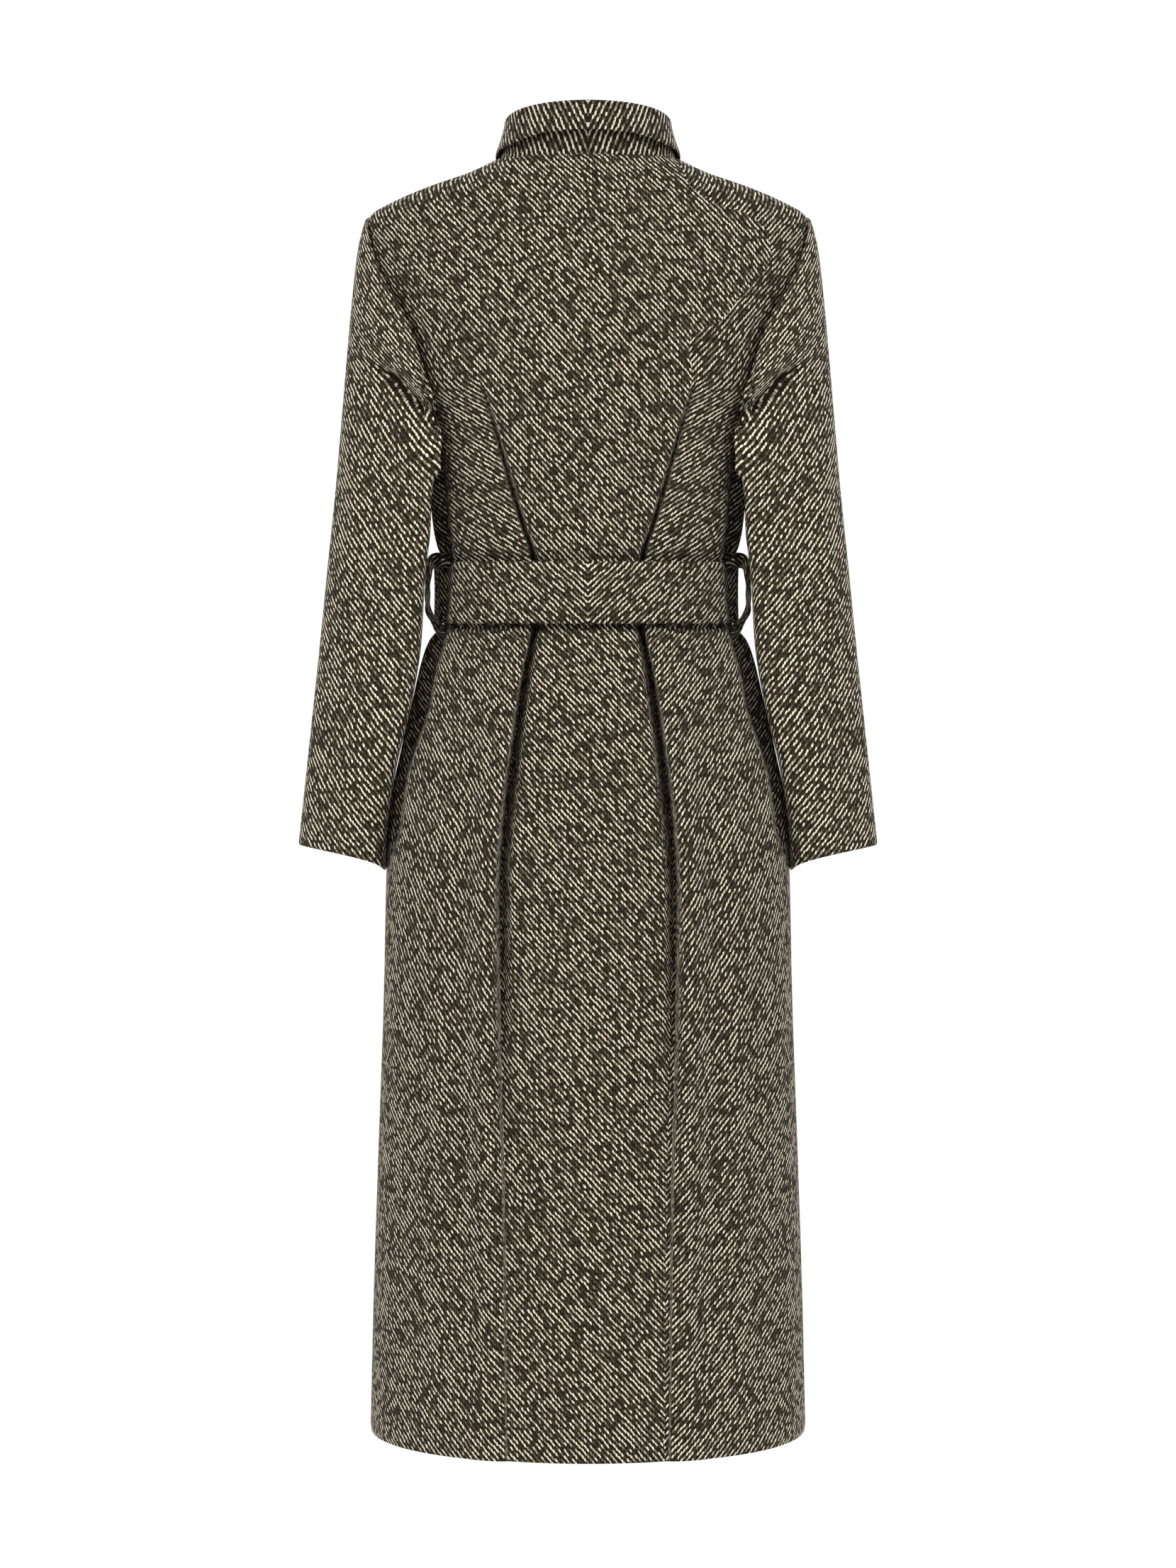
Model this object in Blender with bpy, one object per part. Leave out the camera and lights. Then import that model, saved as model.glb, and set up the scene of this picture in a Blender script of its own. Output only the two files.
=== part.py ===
"""A long belted tweed coat, filled out as if worn, with no wearer inside.

Units are metres. Z is up, the coat's front faces -Y and its left side is +X.
Z is 0 where the shoulder line starts beside the neck.
"""

import math
from collections import namedtuple

import bmesh
import bpy
import numpy as np

for old in list(bpy.data.objects):
    bpy.data.objects.remove(old, do_unlink=True)

# Cloth
WALL = 0.0026
SEAM_GAP = 0.0003
SET_IN_GAP = 1.5 * SEAM_GAP
LAYER = WALL + 0.0008

# Neck
NECK_HALF_WIDTH = 0.082
NECK_HEIGHT = 0.0115
NAPE_HEIGHT = 0.008
FRONT_NECK_DROP = 0.0815

# Wrap fronts
WRAP = 0.0555
WRAP_LIFTED = 0.0557
WRAP_EASED = 0.0705

# Armhole
UNDERARM_HEIGHT = -0.252
SHOULDER_TIP_HEIGHT = -0.043

# Belt
BELT_TOP = -0.3695
BELT_BOTTOM = -0.4265
BELT_THICKNESS = 0.005
BELT_GAP = 0.0012

# Torso sections, from the hem to the neck
Section = namedtuple("Section", "height half_width back_depth front_depth squareness")
TORSO = [
    Section(-1.180, 0.2040, 0.1500, 0.1420, 2.2),
    Section(-1.067, 0.2015, 0.1475, 0.1390, 2.2),
    Section(-0.907, 0.1963, 0.1440, 0.1340, 2.2),
    Section(-0.773, 0.1917, 0.1410, 0.1295, 2.2),
    Section(-0.667, 0.1885, 0.1375, 0.1255, 2.2),
    Section(-0.610, 0.1795, 0.1330, 0.1225, 2.2),
    Section(-0.543, 0.1690, 0.1230, 0.1175, 2.2),
    Section(-0.500, 0.1620, 0.1120, 0.1130, 2.2),
    Section(-0.455, 0.1545, 0.0980, 0.1060, 2.2),
    Section(-0.440, 0.1480, 0.0935, 0.1030, 2.2),
    Section(-0.4265, 0.1357, 0.0905, 0.1010, 2.2),
    Section(-0.398, 0.1350, 0.0900, 0.1005, 2.2),
    Section(-0.3695, 0.1357, 0.0905, 0.1010, 2.2),
    Section(-0.356, 0.1412, 0.0935, 0.1040, 2.2),
    Section(-0.340, 0.1450, 0.0965, 0.1075, 2.2),
    Section(-0.300, 0.1492, 0.1020, 0.1160, 2.25),
    Section(-0.252, 0.1530, 0.1065, 0.1220, 2.3),
    Section(-0.200, 0.1640, 0.1075, 0.1190, 2.3),
    Section(-0.156, 0.1780, 0.1060, 0.1100, 2.2),
    Section(-0.110, 0.1980, 0.1010, 0.0940, 2.1),
    Section(-0.080, 0.2065, 0.0960, 0.0810, 2.0),
    Section(-0.055, 0.2090, 0.0900, 0.0705, 2.0),
    Section(-0.043, 0.2055, 0.0870, 0.0660, 2.0),
    Section(-0.030, 0.1840, 0.0835, 0.0620, 2.0),
    Section(-0.0165, 0.1520, 0.0790, 0.0580, 2.0),
    Section(-0.004, 0.1150, 0.0725, 0.0540, 2.0),
    Section(0.0115, 0.0820, 0.0660, 0.0500, 2.0),
]

# How far out from the centre the armhole's edge lies, on the back and on the fronts
Armhole = namedtuple("Armhole", "height back_reach front_reach")
ARMHOLE = [
    Armhole(-0.252, 0.1530, 0.1530),
    Armhole(-0.238, 0.1400, 0.1415),
    Armhole(-0.218, 0.1420, 0.1415),
    Armhole(-0.197, 0.1495, 0.1465),
    Armhole(-0.177, 0.1570, 0.1530),
    Armhole(-0.156, 0.1650, 0.1600),
    Armhole(-0.130, 0.1800, 0.1725),
    Armhole(-0.105, 0.1945, 0.1860),
    Armhole(-0.080, 0.2010, 0.1960),
    Armhole(-0.060, 0.2040, 0.2020),
    Armhole(-0.043, 0.2055, 0.2055),
]

# The back's tucks: how far out each runs, how deep it sinks, and how high its outer fold stands
Tuck = namedtuple("Tuck", "height reach depth ridge")
TUCK = [
    Tuck(-1.180, 0.0730, 0.0015, 0.0020),
    Tuck(-0.949, 0.0760, 0.0040, 0.0040),
    Tuck(-0.853, 0.0793, 0.0065, 0.0055),
    Tuck(-0.758, 0.0810, 0.0100, 0.0070),
    Tuck(-0.667, 0.0810, 0.0150, 0.0080),
    Tuck(-0.583, 0.0747, 0.0170, 0.0075),
    Tuck(-0.528, 0.0679, 0.0160, 0.0060),
    Tuck(-0.466, 0.0585, 0.0110, 0.0030),
    Tuck(-0.430, 0.0520, 0.0070, 0.0000),
    Tuck(-0.366, 0.0525, 0.0060, 0.0000),
    Tuck(-0.339, 0.0610, 0.0090, 0.0030),
    Tuck(-0.297, 0.0740, 0.0080, 0.0035),
    Tuck(-0.239, 0.0900, 0.0045, 0.0020),
    Tuck(-0.197, 0.1000, 0.0000, 0.0000),
    Tuck(-0.120, 0.1040, 0.0000, 0.0000),
    Tuck(-0.050, 0.0980, 0.0000, 0.0000),
    Tuck(0.0115, 0.0820, 0.0000, 0.0000),
]
TUCK_INNER_WIDTH = 0.040
TUCK_OUTER_WIDTH = 0.006
RIDGE_WIDTH = 0.022
RIDGE_PLACE = 0.015

# Sleeve sections: the outer and inner edge as seen from behind, the depth, how far the front and
# the back wrap in round the body, and how free the section is of the armhole's shape
Sleeve = namedtuple("Sleeve", "outer_x outer_z inner_x inner_z mid_y half_depth front_wrap back_wrap free")
SLEEVE = [
    Sleeve(0.2135, -0.050, 0.1560, -0.257, 0.002, 0.085, 0.028, 0.028, 0.30),
    Sleeve(0.2170, -0.066, 0.1570, -0.263, 0.004, 0.083, 0.026, 0.029, 0.52),
    Sleeve(0.2215, -0.097, 0.1580, -0.270, 0.007, 0.080, 0.024, 0.033, 0.70),
    Sleeve(0.2245, -0.142, 0.1580, -0.279, 0.011, 0.077, 0.021, 0.037, 0.84),
    Sleeve(0.2280, -0.197, 0.1570, -0.294, 0.015, 0.073, 0.018, 0.054, 0.94),
    Sleeve(0.2320, -0.255, 0.1550, -0.318, 0.018, 0.069, 0.013, 0.042, 1.00),
    Sleeve(0.2368, -0.310, 0.1540, -0.350, 0.019, 0.065, 0.009, 0.040, 1.00),
    Sleeve(0.2428, -0.365, 0.1545, -0.390, 0.016, 0.062, 0.005, 0.034, 1.00),
    Sleeve(0.2492, -0.425, 0.1570, -0.445, 0.010, 0.060, 0.002, 0.031, 1.00),
    Sleeve(0.2560, -0.485, 0.1640, -0.503, 0.003, 0.058, 0.000, 0.036, 1.00),
    Sleeve(0.2630, -0.545, 0.1742, -0.564, -0.005, 0.056, 0.000, 0.034, 1.00),
    Sleeve(0.2690, -0.595, 0.1825, -0.617, -0.013, 0.054, 0.000, 0.031, 1.00),
    Sleeve(0.2737, -0.635, 0.1888, -0.659, -0.019, 0.053, 0.000, 0.027, 1.00),
]

# The collar round the neck, by angle from the centre back
Collar = namedtuple("Collar", "angle roll_reach roll_height fall_flare fall_drop")
COLLAR = [
    Collar(0, 0.0640, 0.0535, 0.0130, 0.0275),
    Collar(30, 0.0655, 0.0526, 0.0118, 0.0285),
    Collar(60, 0.0700, 0.0496, 0.0098, 0.0310),
    Collar(90, 0.0722, 0.0446, 0.0090, 0.0300),
    Collar(120, 0.0712, 0.0330, 0.0200, 0.0345),
    Collar(150, 0.0665, 0.0080, 0.0380, 0.0490),
    Collar(180, 0.0645, -0.0260, 0.0450, 0.0580),
]
ROLL_RADIUS = 0.0032
FALL_CURVE = 1.3

# Belt loops
LOOP_PLACE = 0.026
LOOP_RADIUS = 0.0033
Loop = namedtuple("Loop", "height stand_off")
LOOP = [
    Loop(-0.3575, 0.0014),
    Loop(-0.3585, 0.0075),
    Loop(-0.3660, 0.0145),
    Loop(-0.3830, 0.0182),
    Loop(-0.4000, 0.0190),
    Loop(-0.4180, 0.0175),
    Loop(-0.4325, 0.0118),
    Loop(-0.4390, 0.0068),
    Loop(-0.4415, 0.0014),
]

# Belt knot and ends
KNOT_HALF_WIDTH = 0.024
KNOT_THICKNESS = 0.006
KNOT_HOLLOW = 0.011
KNOT_OVERLAP = 0.007
KNOT_GAP = 0.0008
KNOT_SPREAD = 0.12
KNOT_CROWN = 0.25
KNOT_EDGE = 0.35
KNOT_LIP = 0.002
End = namedtuple("End", "height centre half_width stand_off")
END_LEFT = [
    End(-0.8000, 0.0480, 0.0285, 0.0042),
    End(-0.6400, 0.0370, 0.0285, 0.0042),
    End(-0.5400, 0.0270, 0.0280, 0.0042),
    End(-0.4700, 0.0165, 0.0230, 0.0045),
    End(-0.4380, 0.0120, 0.0160, 0.0048),
]
END_RIGHT = [
    End(-0.7700, -0.0560, 0.0285, 0.0042),
    End(-0.6400, -0.0440, 0.0285, 0.0062),
    End(-0.5400, -0.0330, 0.0280, 0.0097),
    End(-0.4700, -0.0175, 0.0230, 0.0099),
    End(-0.4380, -0.0120, 0.0160, 0.0102),
]

# Grid steps
SKIRT_ROWS = [
    -1.180, -1.070, -0.950, -0.840, -0.745, -0.670, -0.605, -0.555, -0.515,
    -0.482, -0.455, -0.440, -0.4265, -0.398, -0.3695, -0.356, -0.340, -0.318, -0.288,
]
TUCK_STEPS = [-0.022, -0.009, -0.003, 0.0, 0.006, 0.017, 0.032]
CENTRE_SHARES = [0.0, 0.36, 0.68]
OUTER_STEPS = 6
FRONT_SHARES = [0.97, 0.86, 0.68, 0.45, 0.22, 0.05]
BELT_STEPS = 22
STAND_SHARES = [0.0, 0.35, 0.7, 1.0]
ROLL_BENDS = [0, 45, 90]
FALL_SHARES = [0.3, 0.65, 1.0]
KNOT_BENDS = range(-90, 91, 30)
KNOT_SHARES = [-1.0, -0.5, 0.0, 0.5, 1.0]
END_ROWS = 11
END_COLUMNS = 5
LOOP_SIDES = 8
SLOPE_STEP = 0.0005
SHOULDER_SAMPLES = 200

TWEED_COLOUR = (0.30, 0.27, 0.22, 1.0)
BELT_COLOUR = (0.27, 0.24, 0.19, 1.0)
COLLAR_COLOUR = (0.33, 0.30, 0.25, 1.0)


def eased(rows, column, at):
    """One column of a table, on a smooth curve through its rows that never overshoots."""
    key = np.array([row[0] for row in rows])
    value = np.array([getattr(row, column) for row in rows])
    step = np.diff(key)
    slope = np.diff(value) / step
    tangent = np.zeros(len(key))
    tangent[0] = slope[0]
    tangent[-1] = slope[-1]
    same_way = slope[:-1] * slope[1:] > 0
    total = np.where(same_way, slope[:-1] + slope[1:], 1.0)
    tangent[1:-1] = np.where(same_way, 2 * slope[:-1] * slope[1:] / total, 0.0)
    at = np.clip(np.asarray(at, float), key[0], key[-1])
    index = np.clip(np.searchsorted(key, at, side="right") - 1, 0, len(step) - 1)
    t = (at - key[index]) / step[index]
    start = (1 + 2 * t) * (1 - t) ** 2 * value[index] + t * (1 - t) ** 2 * step[index] * tangent[index]
    end = t**2 * (3 - 2 * t) * value[index + 1] + t**2 * (t - 1) * step[index] * tangent[index + 1]
    return start + end


def smooth_step(low, high, at):
    t = np.clip((np.asarray(at, float) - low) / (high - low), 0.0, 1.0)
    return t * t * (3 - 2 * t)


def unit(vectors):
    return vectors / np.maximum(np.linalg.norm(vectors, axis=-1, keepdims=True), 1e-12)


def torso(across, height, side):
    """Points on the plain torso, side +1 for the back and -1 for the front."""
    across, height = np.broadcast_arrays(np.asarray(across, float), np.asarray(height, float))
    depth = eased(TORSO, "back_depth" if side > 0 else "front_depth", height)
    power = eased(TORSO, "squareness", height)
    share = np.clip(np.abs(across) / eased(TORSO, "half_width", height), 0.0, 1.0)
    return np.stack([across, side * depth * (1 - share**power) ** (1 / power), height], -1)


def steepness(column, height):
    """How fast a column of the torso's table grows with height."""
    above = eased(TORSO, column, height + SLOPE_STEP)
    below = eased(TORSO, column, height - SLOPE_STEP)
    return (above - below) / (2 * SLOPE_STEP)


def torso_normal(point, side):
    """The plain torso's outward direction at points on it."""
    column = "back_depth" if side > 0 else "front_depth"
    height = point[..., 2]
    width = eased(TORSO, "half_width", height)
    depth = eased(TORSO, column, height)
    power = eased(TORSO, "squareness", height)
    widening = steepness("half_width", height)
    deepening = steepness(column, height)
    share_x = np.abs(point[..., 0]) / width
    share_y = np.abs(point[..., 1]) / depth
    normal_x = np.sign(point[..., 0]) * share_x ** (power - 1) / width
    normal_y = side * share_y ** (power - 1) / depth
    normal_z = -(share_x**power) * widening / width - share_y**power * deepening / depth
    return unit(np.stack([normal_x, normal_y, normal_z], -1))


def tuck_lift(across, height):
    """How far the back's cloth stands off the plain torso at its tucks."""
    gap = np.abs(across) - eased(TUCK, "reach", height)
    inner = 1 - smooth_step(0.0, TUCK_INNER_WIDTH, -gap)
    outer = 1 - smooth_step(0.0, TUCK_OUTER_WIDTH, gap)
    sink = np.where(gap < 0, inner, outer)
    ridge = np.where(gap > 0, np.exp(-(((gap - RIDGE_PLACE) / RIDGE_WIDTH) ** 2)), 0.0)
    ridge = ridge * smooth_step(0.0, TUCK_OUTER_WIDTH, gap)
    return ridge * eased(TUCK, "ridge", height) - sink * eased(TUCK, "depth", height)


def wrap_lift(across, side_sign):
    """How far a front stands off the plain torso: the right one crosses over the left one."""
    if side_sign > 0:
        return np.zeros_like(across)
    return LAYER * smooth_step(-WRAP_EASED, -WRAP_LIFTED, across)


def shoulder_height(across):
    """The height of the shoulder line at a distance from the centre."""
    heights = np.linspace(SHOULDER_TIP_HEIGHT, NECK_HEIGHT, SHOULDER_SAMPLES)
    widths = eased(TORSO, "half_width", heights)
    return np.interp(across, widths[::-1], heights[::-1])


def panel_top(across, side):
    """The height of a panel's top edge: the neckline, then the shoulder seam."""
    across = np.abs(across)
    share = np.clip(across / NECK_HALF_WIDTH, 0.0, 1.0)
    if side > 0:
        neckline = NAPE_HEIGHT + (NECK_HEIGHT - NAPE_HEIGHT) * share**2
    else:
        neckline = NECK_HEIGHT - FRONT_NECK_DROP * np.sqrt(1 - share**2)
    return np.where(across > NECK_HALF_WIDTH, shoulder_height(across), neckline)


def half_stations(edge, reach, side):
    """Column positions from the centre to a panel's edge, for one row."""
    if side > 0:
        inner = [share * (reach + TUCK_STEPS[0]) for share in CENTRE_SHARES]
        inner += [reach + step for step in TUCK_STEPS]
    else:
        inner = [0.0] + [share * reach for share in reversed(FRONT_SHARES)] + [reach]
    start = math.asin(min(inner[-1] / edge, 0.98))
    turns = np.linspace(start, math.pi / 2, OUTER_STEPS + 1)[1:]
    return np.array(inner + [edge * math.sin(turn) for turn in turns])


def panel_rows(side):
    """Each row of a panel: its edge's distance out, its guide line's, and how far up to the top it lies."""
    rows = []
    for height in SKIRT_ROWS:
        rows.append((float(eased(TORSO, "half_width", height)), height, None))
    for row in ARMHOLE:
        rise = (row.height - UNDERARM_HEIGHT) / (SHOULDER_TIP_HEIGHT - UNDERARM_HEIGHT)
        rows.append((row.back_reach if side > 0 else row.front_reach, row.height, rise))
    return rows


def panel_half(side):
    """Distance out and height of every grid point from the centre to a panel's edge."""
    rows = panel_rows(side)
    top_reach = half_stations(rows[-1][0], NECK_HALF_WIDTH, side)
    top_height = panel_top(top_reach, side)
    across, heights = [], []
    for edge, height, rise in rows:
        if rise is None:
            level = np.full(len(top_reach), height)
            middle = height
        else:
            level = UNDERARM_HEIGHT + (top_height - UNDERARM_HEIGHT) * rise
            middle = level[0]
        plain = side < 0 or rise == 1.0
        reach = NECK_HALF_WIDTH if plain else float(eased(TUCK, "reach", middle))
        across.append(half_stations(edge, reach, side))
        heights.append(level)
    return np.array(across), np.array(heights)


def panel_walls(across, heights, side, lift):
    """The outer and inner face of a panel, moved half a seam's gap from the seam."""
    plain = torso(across, heights, side)
    normal = torso_normal(plain, side)
    outer = plain + normal * lift[..., None]
    outer[..., 1] += side * SEAM_GAP / 2
    return outer, outer - normal * WALL


def back_panel():
    across, heights = panel_half(1)
    across = np.concatenate([-across[:, :0:-1], across], axis=1)
    heights = np.concatenate([heights[:, :0:-1], heights], axis=1)
    return panel_walls(across, heights, 1, tuck_lift(across, heights))


def front_panel(side_sign):
    """One front, from its side seam past the centre to the wrap's edge."""
    across, heights = panel_half(-1)
    neckline = [-share * NECK_HALF_WIDTH for share in reversed(FRONT_SHARES)]
    wrap = np.array([reach for reach in neckline if reach > -WRAP] + [-WRAP])
    wrap_heights = []
    for _, height, rise in panel_rows(-1):
        if rise is None:
            wrap_heights.append(np.full(len(wrap), height))
        else:
            wrap_heights.append(UNDERARM_HEIGHT + (panel_top(wrap, -1) - UNDERARM_HEIGHT) * rise)
    across = np.concatenate([np.tile(wrap[::-1], (len(across), 1)), across], axis=1) * side_sign
    heights = np.concatenate([np.array(wrap_heights)[:, ::-1], heights], axis=1)
    return panel_walls(across, heights, -1, wrap_lift(across, side_sign))


def armhole_loop():
    """The left armhole's edge from the underarm up the back and down the front, with its directions."""
    back_rows = ARMHOLE
    front_rows = ARMHOLE[-2:0:-1]
    back = torso([row.back_reach for row in back_rows], [row.height for row in back_rows], 1)
    front = torso([row.front_reach for row in front_rows], [row.height for row in front_rows], -1)
    loop = np.concatenate([back, front])
    normal = np.concatenate([torso_normal(back, 1), torso_normal(front, -1)])
    along = unit(np.roll(loop, -1, axis=0) - np.roll(loop, 1, axis=0))
    into_hole = unit(np.cross(normal, along))
    if np.sum(into_hole * (loop.mean(axis=0) - loop)) < 0:
        into_hole = -into_hole
    return loop + into_hole * SET_IN_GAP, normal


def loop_turns(loop):
    """A share of a full turn for each armhole point: the underarm is 0 and the shoulder tip is half."""
    lengths = np.linalg.norm(np.roll(loop, -1, axis=0) - loop, axis=1)
    tip = len(ARMHOLE) - 1
    run = np.concatenate([[0.0], np.cumsum(lengths)])
    back = run[: tip + 1] / run[tip]
    front = 1 + (run[tip + 1 : -1] - run[tip]) / (run[-1] - run[tip])
    return np.concatenate([back, front]) * math.pi


def sleeve_ring(row, turns):
    outer = np.array([row.outer_x, row.mid_y, row.outer_z])
    inner = np.array([row.inner_x, row.mid_y, row.inner_z])
    middle = (outer + inner) / 2
    ring = middle + np.cos(turns)[:, None] * (inner - outer) / 2
    ring[:, 1] += row.half_depth * np.sin(turns)
    wrap = np.where(np.sin(turns) > 0, row.back_wrap, row.front_wrap)
    ring[:, 0] -= wrap * np.sin(turns) ** 2
    return ring


def grid_normals(points):
    """Outward directions of a closed tube's grid, rows along it and columns round it."""
    along = np.gradient(points, axis=0)
    around = np.roll(points, -1, axis=1) - np.roll(points, 1, axis=1)
    normal = unit(np.cross(along, around))
    outward = points - points.mean(axis=1, keepdims=True)
    if np.sum(normal * outward) < 0:
        normal = -normal
    return normal


def sleeve_walls(side_sign):
    loop, loop_normal = armhole_loop()
    turns = loop_turns(loop)
    rings = [loop]
    for row in SLEEVE:
        rings.append(loop * (1 - row.free) + sleeve_ring(row, turns) * row.free)
    outer = np.array(rings)
    normal = grid_normals(outer)
    normal[0] = loop_normal
    inner = outer - normal * WALL
    mirror = np.array([side_sign, 1.0, 1.0])
    return outer * mirror, inner * mirror


def neck_loop():
    """The neckline's points from the centre front round the back to the centre front.

    Gives each point's turn in degrees from the centre back, its place and its outward direction.
    """
    steps = [step for step in TUCK_STEPS if step <= 0]
    back = [share * (NECK_HALF_WIDTH + steps[0]) for share in CENTRE_SHARES]
    back += [NECK_HALF_WIDTH + step for step in steps]
    front = [NECK_HALF_WIDTH * share for share in FRONT_SHARES]
    turns = [math.degrees(math.asin(across / NECK_HALF_WIDTH)) for across in back]
    turns += [180 - math.degrees(math.asin(across / NECK_HALF_WIDTH)) for across in front]
    across = np.array(back + front)
    backward = len(back)
    points = np.concatenate([
        torso(across[:backward], panel_top(across[:backward], 1), 1),
        torso(across[backward:], panel_top(across[backward:], -1), -1),
    ])
    normals = np.concatenate([torso_normal(points[:backward], 1), torso_normal(points[backward:], -1)])
    mirror = np.array([-1.0, 1.0, 1.0])
    turns = np.array(turns)
    turns = np.concatenate([-turns[:0:-1], turns])
    points = np.concatenate([points[:0:-1] * mirror, points])
    normals = np.concatenate([normals[:0:-1] * mirror, normals])
    return turns, points, normals


def roll_line(turns):
    """The line that the collar folds on, and its outward directions."""
    angle = np.abs(turns)
    reach = eased(COLLAR, "roll_reach", angle)
    height = eased(COLLAR, "roll_height", angle)
    outward = np.stack([np.sin(np.radians(turns)), np.cos(np.radians(turns)), np.zeros(len(turns))], -1)
    return outward * reach[:, None] + np.array([0, 0, 1]) * height[:, None], outward


def collar_stand_walls():
    """The band up from the neck seam, with its edge turned along the neckline's rim."""
    turns, base, panel_normal = neck_loop()
    top, outward = roll_line(turns)
    rise = unit(top - base)
    along = unit(np.gradient(base, axis=0))
    into_neck = unit(np.cross(panel_normal, along))
    into_neck *= np.sign(np.sum(into_neck * rise, axis=1, keepdims=True))
    normal = unit(np.cross(rise, along))
    normal *= np.sign(np.sum(normal * outward, axis=1, keepdims=True))
    base = base + into_neck * SET_IN_GAP
    outer, inner = [], []
    for share in STAND_SHARES:
        point = base + (top - base) * share
        outer.append(point)
        inner.append(point - unit(normal * (1 - share) + outward * share) * WALL)
    return np.array(outer), np.array(inner)


def collar_fall_walls():
    """The fall: a small roll over the stand's top, then down and out to its edge."""
    turns, _, _ = neck_loop()
    top, outward = roll_line(turns)
    up = np.array([0.0, 0.0, 1.0])
    flare = eased(COLLAR, "fall_flare", np.abs(turns))[:, None]
    drop = eased(COLLAR, "fall_drop", np.abs(turns))[:, None]
    hub = top + outward * (ROLL_RADIUS - WALL) + up * SEAM_GAP
    outer, inner = [], []
    for bend in ROLL_BENDS:
        lean = outward * math.sin(math.radians(bend)) + up * math.cos(math.radians(bend))
        outer.append(hub + lean * (ROLL_RADIUS + WALL) - up * ROLL_RADIUS)
        inner.append(hub + lean * ROLL_RADIUS - up * ROLL_RADIUS)
    edge_of_roll = outer[-1]
    lean = unit(outward * drop + up * flare)
    for share in FALL_SHARES:
        point = edge_of_roll + outward * flare * share**FALL_CURVE - up * drop * share
        outer.append(point)
        inner.append(point - lean * WALL)
    return np.array(outer), np.array(inner)


def belt_ring(height, stand_off):
    """Points round the waist from the centre front, at a distance off the cloth."""
    turns = np.linspace(-math.pi / 2, math.pi / 2, BELT_STEPS + 1)
    width = float(eased(TORSO, "half_width", height))
    back = torso(width * np.sin(turns), height, 1)
    front = torso(width * np.sin(turns[-2:0:-1]), height, -1)
    plain = np.concatenate([back, front])
    normal = np.concatenate([torso_normal(back, 1), torso_normal(front, -1)])
    lift = np.full(len(plain), stand_off)
    lift[len(back):] += wrap_lift(front[:, 0], -1)
    return plain + normal * lift[:, None]


def belt_walls():
    levels = (BELT_BOTTOM, (BELT_BOTTOM + BELT_TOP) / 2, BELT_TOP)
    inner = np.array([belt_ring(level, BELT_GAP) for level in levels])
    outer = np.array([belt_ring(level, BELT_GAP + BELT_THICKNESS) for level in levels])
    return outer, inner


def knot_walls():
    """The turn of belt that crosses the band at the centre front, swelling out over it."""
    middle = (BELT_TOP + BELT_BOTTOM) / 2
    half_height = (BELT_TOP - BELT_BOTTOM) / 2 + KNOT_OVERLAP
    band = float(eased(TORSO, "front_depth", middle)) + LAYER + BELT_GAP + BELT_THICKNESS + KNOT_GAP
    share = np.array(KNOT_SHARES)
    outer, inner = [], []
    for bend in KNOT_BENDS:
        swell = math.cos(math.radians(bend))
        rise = math.sin(math.radians(bend))
        across = KNOT_HALF_WIDTH * (1 + KNOT_SPREAD * abs(rise)) * share
        under = band + KNOT_HOLLOW * swell * (1 - KNOT_CROWN * share**2)
        over = under + KNOT_THICKNESS * (KNOT_EDGE + (1 - KNOT_EDGE) * swell)
        level = np.full(len(share), middle + half_height * rise)
        outer.append(np.stack([across, -over, level + KNOT_LIP * rise], -1))
        inner.append(np.stack([across, -under, level], -1))
    return np.array(outer), np.array(inner)


def end_walls(rows):
    """One hanging end of the belt, following the front of the skirt."""
    outer, inner = [], []
    for height in np.linspace(rows[0].height, rows[-1].height, END_ROWS):
        centre = float(eased(rows, "centre", height))
        half = float(eased(rows, "half_width", height))
        stand_off = float(eased(rows, "stand_off", height))
        plain = torso(np.linspace(centre - half, centre + half, END_COLUMNS), height, -1)
        normal = torso_normal(plain, -1)
        inner.append(plain + normal * stand_off)
        outer.append(plain + normal * (stand_off + BELT_THICKNESS))
    return np.array(outer), np.array(inner)


def loop_tube(side_sign):
    """A belt loop: a cord of cloth from the waist, out round the belt and back."""
    height = np.array([row.height for row in LOOP])
    depth = eased(TORSO, "back_depth", height)
    power = eased(TORSO, "squareness", height)
    cloth = eased(TORSO, "half_width", height) * (1 - (LOOP_PLACE / depth) ** power) ** (1 / power)
    stand_off = np.array([row.stand_off for row in LOOP])
    path = np.stack([cloth + stand_off, np.full(len(LOOP), LOOP_PLACE), height], -1)
    along = unit(np.gradient(path, axis=0))
    across = np.array([0.0, 1.0, 0.0])
    out = np.cross(along, across)
    rings = []
    for turn in np.linspace(0, 2 * math.pi, LOOP_SIDES + 1)[:-1]:
        rings.append(path + LOOP_RADIUS * (math.cos(turn) * out + math.sin(turn) * across))
    return np.transpose(np.array(rings), (1, 0, 2)) * np.array([side_sign, 1.0, 1.0])


def cloth_material(name, colour):
    material = bpy.data.materials.new(name)
    material.use_nodes = True
    shader = material.node_tree.nodes["Principled BSDF"]
    shader.inputs["Base Color"].default_value = colour
    shader.inputs["Roughness"].default_value = 0.95
    return material


def add_mesh(name, points, faces, material, collection):
    """One named object from points and faces, with every face turned outward."""
    mesh = bpy.data.meshes.new(name)
    mesh.from_pydata([tuple(point) for point in points], [], faces)
    solid = bmesh.new()
    solid.from_mesh(mesh)
    bmesh.ops.recalc_face_normals(solid, faces=solid.faces[:])
    bmesh.ops.triangulate(solid, faces=solid.faces[:])
    solid.to_mesh(mesh)
    solid.free()
    mesh.materials.append(material)
    made = bpy.data.objects.new(name, mesh)
    collection.objects.link(made)
    return made


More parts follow.
